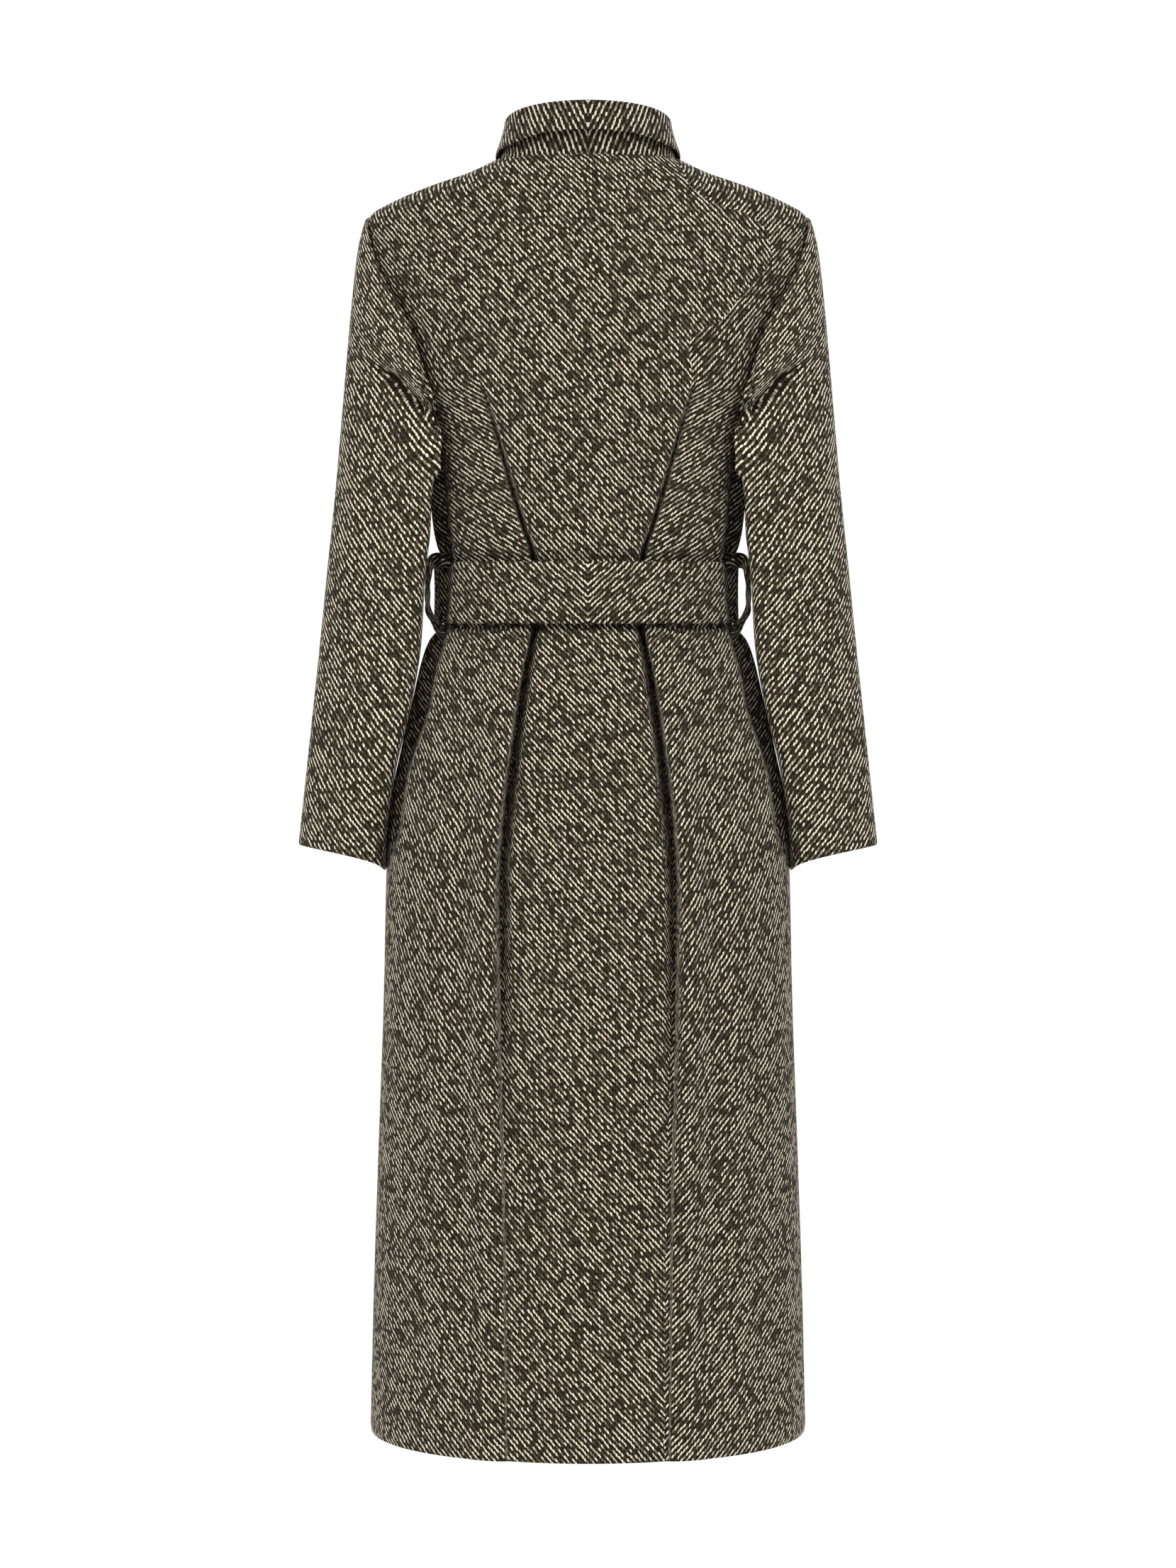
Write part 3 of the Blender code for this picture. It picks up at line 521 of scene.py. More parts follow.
def smooth_step(low, high, at):
    """A smooth rise from 0 at low to 1 at high."""
    t = np.clip((np.asarray(at, float) - low) / (high - low), 0.0, 1.0)
    return t * t * (3 - 2 * t)


def bell(distance, width):
    """1 at no distance, falling away smoothly on both sides."""
    return np.exp(-((distance / width) ** 2))


def unit(vectors):
    """Vectors scaled to a length of 1."""
    return vectors / np.maximum(np.linalg.norm(vectors, axis=-1, keepdims=True), TINY)


def run_along(points, axis):
    """The distance travelled from the first point of each line of a grid."""
    steps = np.linalg.norm(np.diff(points, axis=axis), axis=-1)
    start = np.zeros_like(np.take(steps, [0], axis=axis))
    return np.concatenate([start, np.cumsum(steps, axis=axis)], axis=axis)


def torso(across, height, side):
    """Points on the plain torso, side +1 for the back and -1 for the front."""
    across, height = np.broadcast_arrays(np.asarray(across, float), np.asarray(height, float))
    depth = eased(TORSO, "back_depth" if side > 0 else "front_depth", height)
    power = eased(TORSO, "squareness", height)
    share = np.clip(np.abs(across) / eased(TORSO, "half_width", height), 0.0, 1.0)
    return np.stack([across, side * depth * (1 - share**power) ** (1 / power), height], -1)


def steepness(column, height):
    """How fast a column of the torso's table grows with height."""
    above = eased(TORSO, column, height + SLOPE_STEP)
    below = eased(TORSO, column, height - SLOPE_STEP)
    return (above - below) / (2 * SLOPE_STEP)


def torso_normal(point, side):
    """The plain torso's outward direction at points on it."""
    column = "back_depth" if side > 0 else "front_depth"
    height = point[..., 2]
    width = eased(TORSO, "half_width", height)
    depth = eased(TORSO, column, height)
    power = eased(TORSO, "squareness", height)
    widening = steepness("half_width", height)
    deepening = steepness(column, height)
    share_x = np.abs(point[..., 0]) / width
    share_y = np.abs(point[..., 1]) / depth
    normal_x = np.sign(point[..., 0]) * share_x ** (power - 1) / width
    normal_y = side * share_y ** (power - 1) / depth
    normal_z = -(share_x**power) * widening / width - share_y**power * deepening / depth
    return unit(np.stack([normal_x, normal_y, normal_z], -1))


def rolled(share):
    """A quarter round: 1 with an upright end at share 0, easing flat to 0 at share 1."""
    return 1 - np.sqrt(1 - (1 - np.clip(share, 0.0, 1.0)) ** 2)


def tuck_slit(across, height):
    """How deep the cloth goes into the tucks' slits."""
    gap = np.abs(across) - eased(TUCK, "reach", height)
    trench = 1 - smooth_step(SLIT_FLOOR, 1.0, -gap / eased(TUCK, "slit_width", height))
    edge = rolled(gap / eased(TUCK, "turn", height))
    return np.where(gap < 0, trench, edge) * eased(TUCK, "slit", height)


def tuck_lift(across, height):
    """How far the back's cloth stands off the plain torso beside its tucks."""
    gap = np.abs(across) - eased(TUCK, "reach", height)
    inside = gap < 0
    edge = rolled(gap / eased(TUCK, "turn", height))
    valley = np.where(inside, bell(gap, VALLEY_WIDTH), edge)
    ridge = np.where(inside, 0.0, bell(gap - RIDGE_PLACE, RIDGE_WIDTH) * (1 - edge))
    return ridge * eased(TUCK, "ridge", height) - valley * eased(TUCK, "valley", height)


def wrap_lift(across, side_sign):
    """How far a front stands off the plain torso: the right one crosses over the left one."""
    if side_sign > 0:
        return np.zeros_like(across)
    return LAYER * smooth_step(-WRAP_EASED, -WRAP_LIFTED, across)


def crease_lift(points, normals, creases):
    """How far the listed creases move a surface, mirrored to both sides of the coat."""
    place = np.stack([np.abs(points[..., 0]), points[..., 2]], -1)
    lift = np.zeros(place.shape[:-1])
    for crease in creases:
        path = np.array(crease.path)
        lengths = np.linalg.norm(np.diff(path, axis=0), axis=1)
        total = lengths.sum()
        nearest = np.full(lift.shape, np.inf)
        along = np.zeros(lift.shape)
        travelled = 0.0
        for start, end, length in zip(path[:-1], path[1:], lengths):
            direction = (end - start) / length
            offset = place - start
            reach = np.clip(offset @ direction, 0.0, length)
            away = offset - reach[..., None] * direction
            aside = np.sign(offset[..., 0] * direction[1] - offset[..., 1] * direction[0])
            distance = np.linalg.norm(away, axis=-1) * np.where(aside < 0, -1.0, 1.0)
            closer = np.abs(distance) < np.abs(nearest)
            nearest = np.where(closer, distance, nearest)
            along = np.where(closer, (travelled + reach) / total, along)
            travelled += length
        fade = smooth_step(0.0, CREASE_FADE, along) * (1 - smooth_step(1 - CREASE_FADE, 1.0, along))
        facing = smooth_step(*CREASE_FACING, normals @ np.array(FACING[crease.facing]))
        shape = crease.ridge * bell(nearest - RIDGE_AWAY * crease.width, RIDGE_SPREAD * crease.width)
        shape = shape - crease.depth * bell(nearest, crease.width)
        lift += shape * fade * facing
    return lift


def side_folded(points):
    """Points of the back half, turned away sharply at the sides under the sleeves."""
    gap = np.abs(points[..., 0]) - eased(SIDE_FOLD, "reach", points[..., 2])
    share = eased(SIDE_FOLD, "share", points[..., 2]) * smooth_step(0.0, SIDE_FOLD_TURN, gap)
    folded = points.copy()
    folded[..., 1] *= np.where(points[..., 1] > 0, 1 - share, 1.0)
    return folded


def belt_pinch(height):
    """How far the belt draws the cloth in along its lower and upper edge."""
    below = np.where(height < BELT_BOTTOM, bell(height - BELT_BOTTOM, PINCH_HEIGHT), 0.0)
    above = np.where(height > BELT_TOP, bell(height - BELT_TOP, PINCH_HEIGHT), 0.0)
    return -PINCH_BELOW * below - PINCH_ABOVE * above


def away_from_belt(height):
    """1 where a fold is free to stand off, down to 0 under the belt."""
    above = smooth_step(BELT_TOP, BELT_TOP + BELT_CLEAR, height)
    below = 1 - smooth_step(BELT_BOTTOM - BELT_CLEAR, BELT_BOTTOM, height)
    return above + below


def shoulder_height(across):
    """The height of the shoulder line at a distance from the centre."""
    heights = np.linspace(SHOULDER_TIP_HEIGHT, NECK_HEIGHT, SHOULDER_SAMPLES)
    widths = eased(TORSO, "half_width", heights)
    return np.interp(across, widths[::-1], heights[::-1])


def panel_top(across, side):
    """The height of a panel's top edge: the neckline, then the shoulder seam."""
    across = np.abs(across)
    share = np.clip(across / NECK_HALF_WIDTH, 0.0, 1.0)
    if side > 0:
        neckline = NAPE_HEIGHT + (NECK_HEIGHT - NAPE_HEIGHT) * share**2
    else:
        neckline = NECK_HEIGHT - FRONT_NECK_DROP * np.sqrt(1 - share**2)
    return np.where(across > NECK_HALF_WIDTH, shoulder_height(across), neckline)


def half_stations(edge, reach, side):
    """Column positions from the centre to a panel's edge, for one row."""
    inner_steps = BACK_INNER_STEPS if side > 0 else FRONT_INNER_STEPS
    outer_steps = BACK_OUTER_STEPS if side > 0 else FRONT_OUTER_STEPS
    left = 1 - np.linspace(0, 1, inner_steps + 1)
    inner = reach * (1 - left**INNER_CROWDING)
    start = math.asin(min(reach / edge, STATION_LIMIT))
    share = np.linspace(0, 1, outer_steps + 1)[1:] ** OUTER_CROWDING
    return np.concatenate([inner, edge * np.sin(start + (math.pi / 2 - start) * share)])


def panel_rows(side):
    """Each row of a panel: its edge's distance out, its height, and how far up to the top it lies."""
    rows = []
    for height in np.linspace(TORSO[0].height, UNDERARM_HEIGHT, SKIRT_STEPS + 1):
        rows.append((float(eased(TORSO, "half_width", height)), height, None))
    column = "back_reach" if side > 0 else "front_reach"
    for height in np.linspace(UNDERARM_HEIGHT, SHOULDER_TIP_HEIGHT, ARMHOLE_STEPS + 1)[1:]:
        rise = (height - UNDERARM_HEIGHT) / (SHOULDER_TIP_HEIGHT - UNDERARM_HEIGHT)
        rows.append((float(eased(ARMHOLE, column, height)), height, rise))
    return rows


def panel_half(side):
    """Distance out and height of every grid point from the centre to a panel's edge."""
    rows = panel_rows(side)
    top_reach = half_stations(rows[-1][0], NECK_HALF_WIDTH, side)
    top_height = panel_top(top_reach, side)
    across, heights = [], []
    for edge, height, rise in rows:
        if rise is None:
            level = np.full(len(top_reach), height)
        else:
            level = UNDERARM_HEIGHT + (top_height - UNDERARM_HEIGHT) * rise
        reach = NECK_HALF_WIDTH if side < 0 else float(eased(TUCK, "reach", level[0]))
        across.append(half_stations(edge, reach, side))
        heights.append(level)
    across[-1] = top_reach
    return np.array(across), np.array(heights)


def seam_dip(distance):
    """How far the cloth dips at a distance from a seam."""
    return -SEAM_DIP * bell(distance, SEAM_WIDTH)


def edge_distance(plain, columns):
    """The distance from each point of a panel to the nearest of its sewn edges."""
    run = run_along(plain, 1)
    gaps = []
    if "first" in columns:
        gaps.append(run)
    if "last" in columns:
        gaps.append(run[:, -1:] - run)
    climb = run_along(plain, 0)
    gaps.append(climb[-1:] - climb)
    return np.min(gaps, axis=0)


def panel_walls(across, heights, side, lift, creases, sewn):
    """The outer and inner face of a panel with its creases and seams."""
    plain = torso(across, heights, side)
    normal = torso_normal(plain, side)
    folds = crease_lift(plain, normal, creases) * away_from_belt(heights)
    pinch = belt_pinch(heights) * smooth_step(*PINCH_FACING, np.abs(normal[..., 1]))
    lift = lift + folds + pinch + seam_dip(edge_distance(plain, sewn))
    outer = plain + normal * lift[..., None]
    return outer, outer - normal * WALL


def back_panel():
    """The back with its tucks and creases, its weave map, and where its twill turns over."""
    across, heights = panel_half(1)
    across = np.concatenate([-across[:, :0:-1], across], axis=1)
    heights = np.concatenate([heights[:, :0:-1], heights], axis=1)
    slit = tuck_slit(across, heights)
    lift = tuck_lift(across, heights) - slit
    outer, inner = panel_walls(across, heights, 1, lift, BACK_CREASES, ("first", "last"))
    under_fold = np.sign(across) * SLIT_UNDERCUT * slit
    outer[..., 0] += under_fold
    inner[..., 0] += under_fold
    outer = side_folded(outer)
    inner = side_folded(inner)
    return outer, inner, back_weave(outer, across, heights), twill_turn(across, heights)


def fall_at(heights):
    """How far down the cloth a height lies, measured along the centre back."""
    levels = np.linspace(TORSO[0].height, TORSO[-1].height, FALL_SAMPLES)
    depth = eased(TORSO, "back_depth", levels)
    climb = np.concatenate([[0.0], np.cumsum(np.hypot(np.diff(levels), np.diff(depth)))])
    return np.interp(UNDERARM_HEIGHT, levels, climb) - np.interp(heights, levels, climb)


def back_weave(outer, across, heights):
    """The back's weave map: level in the middle, and along each tuck outside it."""
    middle = across.shape[1] // 2
    tuck = middle + BACK_INNER_STEPS
    run = run_along(outer * LEVEL, 1)
    run = np.abs(run - run[:, middle : middle + 1])
    past_tuck = np.abs(across) > np.abs(across[:, tuck : tuck + 1])
    gap = np.where(past_tuck, run - run[:, tuck : tuck + 1], 0.0)
    start = run[:, tuck : tuck + 1].copy()
    top_row = np.argmin(np.abs(heights[:, tuck] - TUCK_TOP))
    start[:top_row] = start[top_row]
    sideways = -np.sign(across) * np.where(past_tuck, start + gap, run)
    lean = eased(WEAVE_LEAN, "lean", heights[:, middle])
    return np.stack([sideways, fall_at(heights) - lean[:, None] * gap], -1)


def twill_turn(across, heights):
    """Above 0 where the back's twill runs as in the middle, below 0 where it is turned over."""
    beside_tuck = eased(TUCK, "reach", heights) - TURN_INSIDE_TUCK
    above_tuck = eased(TWILL_TURN, "reach", heights)
    return np.where(heights < TUCK_TOP, beside_tuck, above_tuck) + across


def front_panel(side_sign):
    """One front, from its side seam past the centre to the wrap's edge."""
    across, heights = panel_half(-1)
    wrap = -np.linspace(WRAP, 0.0, WRAP_STEPS + 1)[:-1]
    wrap_heights = []
    for _, height, rise in panel_rows(-1):
        if rise is None:
            wrap_heights.append(np.full(len(wrap), height))
        else:
            wrap_heights.append(UNDERARM_HEIGHT + (panel_top(wrap, -1) - UNDERARM_HEIGHT) * rise)
    across = np.concatenate([np.tile(wrap, (len(across), 1)), across], axis=1) * side_sign
    heights = np.concatenate([np.array(wrap_heights), heights], axis=1)
    lift = wrap_lift(across, side_sign)
    if side_sign < 0:
        edge = smooth_step(WRAP - EDGE_LIFT_WIDTH, WRAP, across)
        lift = lift + EDGE_LIFT * edge * away_from_belt(heights)
    outer, inner = panel_walls(across, heights, -1, lift, FRONT_CREASES, ("last",))
    plain = torso(across, heights, -1)
    run = run_along(plain * LEVEL, 1) * -side_sign
    return outer, inner, np.stack([run, fall_at(heights)], -1)


def armhole_loop():
    """The left armhole's edge from the underarm up the back and down the front, with its directions."""
    share = (1 - np.cos(np.linspace(0, math.pi, SLEEVE_SIDES + 1))) / 2
    climb = UNDERARM_HEIGHT + (SHOULDER_TIP_HEIGHT - UNDERARM_HEIGHT) * share
    back = torso(eased(ARMHOLE, "back_reach", climb), climb, 1)
    descent = climb[-2:0:-1]
    front = torso(eased(ARMHOLE, "front_reach", descent), descent, -1)
    loop = np.concatenate([back, front])
    normal = np.concatenate([torso_normal(back, 1), torso_normal(front, -1)])
    along = unit(np.roll(loop, -1, axis=0) - np.roll(loop, 1, axis=0))
    into_hole = unit(np.cross(normal, along))
    if np.sum(into_hole * (loop.mean(axis=0) - loop)) < 0:
        into_hole = -into_hole
    return loop + into_hole * SET_IN_GAP, normal


def loop_turns(loop):
    """Each armhole point's turn in radians: none at the underarm, half a turn at the shoulder tip."""
    lengths = np.linalg.norm(np.roll(loop, -1, axis=0) - loop, axis=1)
    run = np.concatenate([[0.0], np.cumsum(lengths)])
    tip = SLEEVE_SIDES
    back = run[: tip + 1] / run[tip]
    front = 1 + (run[tip + 1 : -1] - run[tip]) / (run[-1] - run[tip])
    return np.concatenate([back, front]) * math.pi


def sleeve_ring(row, turns):
    """One section of the left sleeve, as a point for each turn round it."""
    outer = np.array([row.outer_x, row.mid_y, row.outer_z])
    inner = np.array([row.inner_x, row.mid_y, row.inner_z])
    middle = (outer + inner) / 2
    ring = middle + np.cos(turns)[:, None] * (inner - outer) / 2
    ring[:, 1] += row.half_depth * np.sin(turns)
    wrap = np.where(np.sin(turns) > 0, row.back_wrap, row.front_wrap)
    ring[:, 0] -= wrap * np.sin(turns) ** 2
    return ring


def grid_normals(points):
    """Outward directions of a closed tube's grid, rows along it and columns round it."""
    along = np.gradient(points, axis=0)
    around = np.roll(points, -1, axis=1) - np.roll(points, 1, axis=1)
    normal = unit(np.cross(along, around))
    outward = points - points.mean(axis=1, keepdims=True)
    if np.sum(normal * outward) < 0:
        normal = -normal
    return normal


def front_turn(points):
    """How far round the front of a sleeve points lie from its outer edge, at their own height."""
    rows = SLEEVE[::-1]
    height = points[..., 2]
    outer = np.interp(height, [row.outer_z for row in rows], [row.outer_x for row in rows])
    inner = np.interp(height, [row.inner_z for row in rows], [row.inner_x for row in rows])
    middle = np.interp(height, [row.outer_z for row in rows], [row.mid_y for row in rows])
    turn = np.arctan2(middle - points[..., 1], points[..., 0] - (outer + inner) / 2)
    return FRONT_TURN_RADIUS * np.clip(turn, 0.0, math.pi)


def sleeve_walls(side_sign):
    """A sleeve from the armhole to the cuff, with its creases, and its weave map."""
    loop, loop_normal = armhole_loop()
    turns = loop_turns(loop)
    rings = np.array([loop] + [
        loop * (1 - row.free) + sleeve_ring(row, turns) * row.free for row in SLEEVE
    ])
    key = np.concatenate([[0.0], np.cumsum(np.linalg.norm(np.diff(rings, axis=0), axis=-1).mean(axis=1))])
    at = np.linspace(0.0, key[-1], SLEEVE_STEPS + 1)
    plain = np.empty((len(at),) + rings.shape[1:])
    for column in range(rings.shape[1]):
        for axis in range(3):
            plain[:, column, axis] = eased_through(key, rings[:, column, axis], at)
    normal = grid_normals(plain)
    normal[0] = loop_normal
    climb = run_along(plain, 0)
    lift = crease_lift(plain, normal, SLEEVE_CREASES) * smooth_step(0.0, CREASE_SEAM_CLEAR, climb)
    lift = lift + seam_dip(climb)
    outer = plain + normal * lift[..., None]
    inner = outer - normal * WALL
    mirror = np.array([side_sign, 1.0, 1.0])
    return outer * mirror, inner * mirror, sleeve_weave(plain, turns)


def sleeve_weave(plain, turns):
    """A sleeve's weave map: round from the middle of its back, and by the turn on its front."""
    closed = np.concatenate([plain, plain[:, :1]], axis=1)
    middle = SLEEVE_SIDES // 2
    edge = np.argmin(np.abs(turns - math.pi))
    around = run_along(closed * LEVEL, 1)
    around = around - around[:, middle : middle + 1]
    start = around[:, edge : edge + 1].copy()
    start[:SLEEVE_FREE_ROW] = start[SLEEVE_FREE_ROW]
    around[:, edge:] = start + front_turn(closed[:, edge:])
    return np.stack([-around, -closed[..., 2]], -1)


def neck_loop():
    """The neckline's points from the centre front round the back to the centre front.

    Gives each point's turn in degrees from the centre back, its place and its outward direction.
    """
    turns = np.linspace(-COLLAR_END, COLLAR_END, COLLAR_STEPS + 1)
    across = NECK_HALF_WIDTH * np.sin(np.radians(turns))
    behind = np.abs(turns) <= 90
    back = torso(across, panel_top(across, 1), 1)
    front = torso(across, panel_top(across, -1), -1)
    points = np.where(behind[:, None], back, front)
    normals = np.where(behind[:, None], torso_normal(back, 1), torso_normal(front, -1))
    return turns, points, normals


def roll_line(turns):
    """The line that the collar folds on, and its outward directions."""
    angle = np.abs(turns)
    reach = eased(COLLAR, "roll_reach", angle)
    height = eased(COLLAR, "roll_height", angle)
    outward = np.stack([np.sin(np.radians(turns)), np.cos(np.radians(turns)), np.zeros(len(turns))], -1)
    return outward * reach[:, None] + np.array([0, 0, 1]) * height[:, None], outward


def round_weave(outer, middle):
    """A weave map for a band round the neck or waist, mirrored at the centre back."""
    run = run_along(outer, 1)
    run = -np.abs(run - run[:, middle : middle + 1])
    fall = run_along(outer, 0)
    return run, fall


def collar_stand_walls():
    """The band up from the neck seam, with its edge turned along the neckline's rim."""
    turns, base, panel_normal = neck_loop()
    top, outward = roll_line(turns)
    rise = unit(top - base)
    along = unit(np.gradient(base, axis=0))
    into_neck = unit(np.cross(panel_normal, along))
    into_neck *= np.sign(np.sum(into_neck * rise, axis=1, keepdims=True))
    normal = unit(np.cross(rise, along))
    normal *= np.sign(np.sum(normal * outward, axis=1, keepdims=True))
    base = base + into_neck * SET_IN_GAP
    turned_in = base - panel_normal * STAND_INSET - into_neck * STAND_TURNING
    outer = [turned_in]
    inner = [turned_in - panel_normal * WALL]
    for share in np.linspace(0, 1, STAND_STEPS + 1):
        point = base + (top - base) * share
        outer.append(point)
        inner.append(point - unit(normal * (1 - share) + outward * share) * WALL)
    outer = np.array(outer)
    run, fall = round_weave(outer, COLLAR_STEPS // 2)
    return outer, np.array(inner), np.stack([run, -fall], -1)


def collar_fall_walls():
    """The fall: a small roll over the stand's top, then down and out to its edge."""
    turns, _, _ = neck_loop()
    top, outward = roll_line(turns)
    up = np.array([0.0, 0.0, 1.0])
    flare = eased(COLLAR, "fall_flare", np.abs(turns))[:, None]
    drop = eased(COLLAR, "fall_drop", np.abs(turns))[:, None]
    hub = top + outward * (ROLL_RADIUS - WALL) + up * SEAM_GAP
    outer, inner = [], []
    for bend in np.linspace(0, 90, ROLL_STEPS + 1):
        lean = outward * math.sin(math.radians(bend)) + up * math.cos(math.radians(bend))
        outer.append(hub + lean * (ROLL_RADIUS + WALL) - up * ROLL_RADIUS)
        inner.append(hub + lean * ROLL_RADIUS - up * ROLL_RADIUS)
    edge_of_roll = outer[-1]
    lean = unit(outward * drop + up * flare)
    for share in np.linspace(0, 1, FALL_STEPS + 1)[1:]:
        point = edge_of_roll + outward * flare * share**FALL_CURVE - up * drop * share
        outer.append(point)
        inner.append(point - lean * WALL)
    outer = np.array(outer)
    run, fall = round_weave(outer, COLLAR_STEPS // 2)
    return outer, np.array(inner), np.stack([run, fall], -1)


def belt_ring(height, stand_off):
    """Points round the waist from the right side seam along the back, and back along the front."""
    turns = np.linspace(-math.pi / 2, math.pi / 2, BELT_STEPS + 1)
    width = float(eased(TORSO, "half_width", height))
    back = torso(width * np.sin(turns), height, 1)
    front = torso(width * np.sin(turns[-2:0:-1]), height, -1)
    plain = np.concatenate([back, front])
    normal = np.concatenate([torso_normal(back, 1), torso_normal(front, -1)])
    lift = np.full(len(plain), stand_off)
    lift[len(back):] += wrap_lift(front[:, 0], -1)
    return side_folded(plain + normal * lift[:, None])


def belt_walls():
    """The belt round the waist, and its weave map."""
    levels = np.linspace(BELT_BOTTOM, BELT_TOP, BELT_ROWS + 1)
    inner = np.array([belt_ring(level, BELT_GAP) for level in levels])
    outer = np.array([belt_ring(level, BELT_GAP + BELT_THICKNESS) for level in levels])
    closed = np.concatenate([outer, outer[:, :1]], axis=1)
    run, fall = round_weave(closed, BELT_STEPS // 2)
    return outer, inner, np.stack([run, -fall], -1)


def knot_walls():
    """The turn of belt that crosses the band at the centre front, swelling out over it."""
    middle = (BELT_TOP + BELT_BOTTOM) / 2
    half_height = (BELT_TOP - BELT_BOTTOM) / 2 + KNOT_OVERLAP
    band = float(eased(TORSO, "front_depth", middle)) + LAYER + BELT_GAP + BELT_THICKNESS + KNOT_GAP
    share = np.linspace(-1, 1, KNOT_COLUMNS + 1)
    outer, inner = [], []
    for bend in np.linspace(-90, 90, KNOT_ROWS + 1):
        swell = math.cos(math.radians(bend))
        rise = math.sin(math.radians(bend))
        across = KNOT_HALF_WIDTH * (1 + KNOT_SPREAD * abs(rise)) * share
        under = band + KNOT_HOLLOW * swell * (1 - KNOT_CROWN * share**2)
        over = under + KNOT_THICKNESS * (KNOT_EDGE + (1 - KNOT_EDGE) * swell)
        over = over + KNOT_FOLD * swell * np.cos(KNOT_FOLDS * math.pi * share)
        level = np.full(len(share), middle + half_height * rise)
        outer.append(np.stack([across, -over, level + KNOT_LIP * rise], -1))
        inner.append(np.stack([across, -under, level], -1))
    outer = np.array(outer)
    return outer, np.array(inner), np.stack([run_along(outer, 0), run_along(outer, 1)], -1)


def end_walls(rows):
    """One hanging end of the belt, following the front of the skirt."""
    outer, inner = [], []
    for height in np.linspace(rows[0].height, rows[-1].height, END_ROWS + 1):
        centre = float(eased(rows, "centre", height))
        half = float(eased(rows, "half_width", height))
        stand_off = float(eased(rows, "stand_off", height))
        plain = torso(np.linspace(centre - half, centre + half, END_COLUMNS + 1), height, -1)
        normal = torso_normal(plain, -1)
        inner.append(plain + normal * stand_off)
        outer.append(plain + normal * (stand_off + BELT_THICKNESS))
    outer = np.array(outer)
    return outer, np.array(inner), np.stack([run_along(outer, 1), -run_along(outer, 0)], -1)


def loop_walls(side_sign):
    """A belt loop: from the waist, out round the belt and back, with a twist, and its weave map."""
    key = np.arange(len(LOOP), dtype=float)
    at = np.linspace(0, key[-1], LOOP_STEPS + 1)
    height = eased_through(key, np.array([row.height for row in LOOP]), at)
    stand_off = eased_through(key, np.array([row.stand_off for row in LOOP]), at)
    radius = eased_through(key, np.array([row.radius for row in LOOP]), at)
    depth = eased(TORSO, "back_depth", height)
    power = eased(TORSO, "squareness", height)
    cloth = eased(TORSO, "half_width", height) * (1 - (LOOP_PLACE / depth) ** power) ** (1 / power)
    path = np.stack([cloth + stand_off, np.full(len(at), LOOP_PLACE), height], -1)
    along = unit(np.gradient(path, axis=0))
    across = np.array([0.0, 1.0, 0.0])
    out = np.cross(along, across)
    climb = run_along(path, 0)
    rings = []
    for turn in np.linspace(0, 2 * math.pi, LOOP_SIDES + 1)[:-1]:
        flute = np.cos(LOOP_FLUTES * (turn - climb / LOOP_TWIST_PITCH * 2 * math.pi / LOOP_FLUTES))
        reach = radius * (1 + LOOP_FLUTE_DEPTH * flute)
        spoke = math.cos(turn) * out + math.sin(turn) * across
        rings.append(path + reach[:, None] * spoke)
    outer = np.transpose(np.array(rings), (1, 0, 2))
    inner = outer + (path[:, None] - outer) * LOOP_HOLLOW
    closed = np.concatenate([outer, outer[:, :1]], axis=1)
    twist = (climb * LOOP_GRAIN)[:, None]
    weave = np.stack([run_along(closed, 1) + twist, run_along(closed, 0)], -1)
    mirror = np.array([side_sign, 1.0, 1.0])
    return outer * mirror, inner * mirror, weave


def finish_mesh(name, points, faces, weave, material):
    """A smooth mesh object with its weave map, and with the twill turned over nowhere."""
    mesh = bpy.data.meshes.new(name)
    mesh.from_pydata(points.tolist(), [], faces.tolist())
    layer = mesh.uv_layers.new(name="weave")
    layer.data.foreach_set("uv", weave.astype(np.float32).ravel())
    mesh.polygons.foreach_set("use_smooth", np.ones(len(faces), bool))
    mesh.materials.append(material)
    turn = mesh.attributes.new("twill_turn", "FLOAT", "POINT")
    turn.data.foreach_set("value", np.ones(len(points), np.float32))
    mesh.update()
    made = bpy.data.objects.new(name, mesh)
    bpy.context.scene.collection.objects.link(made)
    return made


def add_shell(name, walls, material, ring):
    """A closed shell between an outer and an inner grid, with its weave map."""
    outer, inner, weave = walls[:3]
    outer, inner = rounded(outer, inner, ring)
    rows, columns = outer.shape[:2]
    spans = columns if ring else columns - 1
    layer = rows * columns
    row, column = np.indices((rows - 1, spans)).reshape(2, -1)
    corners = [(row, column), (row, column + 1), (row + 1, column + 1), (row + 1, column)]
    across = outer[0, 1] - outer[0, 0]
    along = outer[1, 0] - outer[0, 0]
    turned = np.dot(np.cross(across, along), outer[0, 0] - inner[0, 0]) < 0
    if turned:
        corners.reverse()

    def at(places, layer_start):
        return np.stack([layer_start + r * columns + c % columns for r, c in places], -1)

    def map_at(places):
        return np.stack([weave[r, c] for r, c in places], 1)

    faces = [at(corners, 0), at(corners[::-1], layer)]
    maps = [map_at(corners), map_at(corners[::-1])]
    sweep = np.arange(spans + 1)
    rims = [(0 * sweep, sweep, not turned), (0 * sweep + rows - 1, sweep, turned)]
    if not ring:
        climb = np.arange(rows)
        rims += [(climb, 0 * climb, turned), (climb, 0 * climb + columns - 1, not turned)]
    for rim_row, rim_column, forward in rims:
        index = rim_row * columns + rim_column % columns
        place = weave[rim_row, rim_column]
        quad = [index[:-1], layer + index[:-1], layer + index[1:], index[1:]]
        places = [place[:-1], place[:-1], place[1:], place[1:]]
        if not forward:
            quad.reverse()
            places.reverse()
        faces.append(np.stack(quad, -1))
        maps.append(np.stack(places, 1))
    points = np.concatenate([outer.reshape(-1, 3), inner.reshape(-1, 3)])
    made = finish_mesh(name, points, np.concatenate(faces), np.concatenate(maps), material)
    if len(walls) > 3:
        turn = np.tile(walls[3].ravel(), 2).astype(np.float32)
        made.data.attributes["twill_turn"].data.foreach_set("value", turn)
    return made


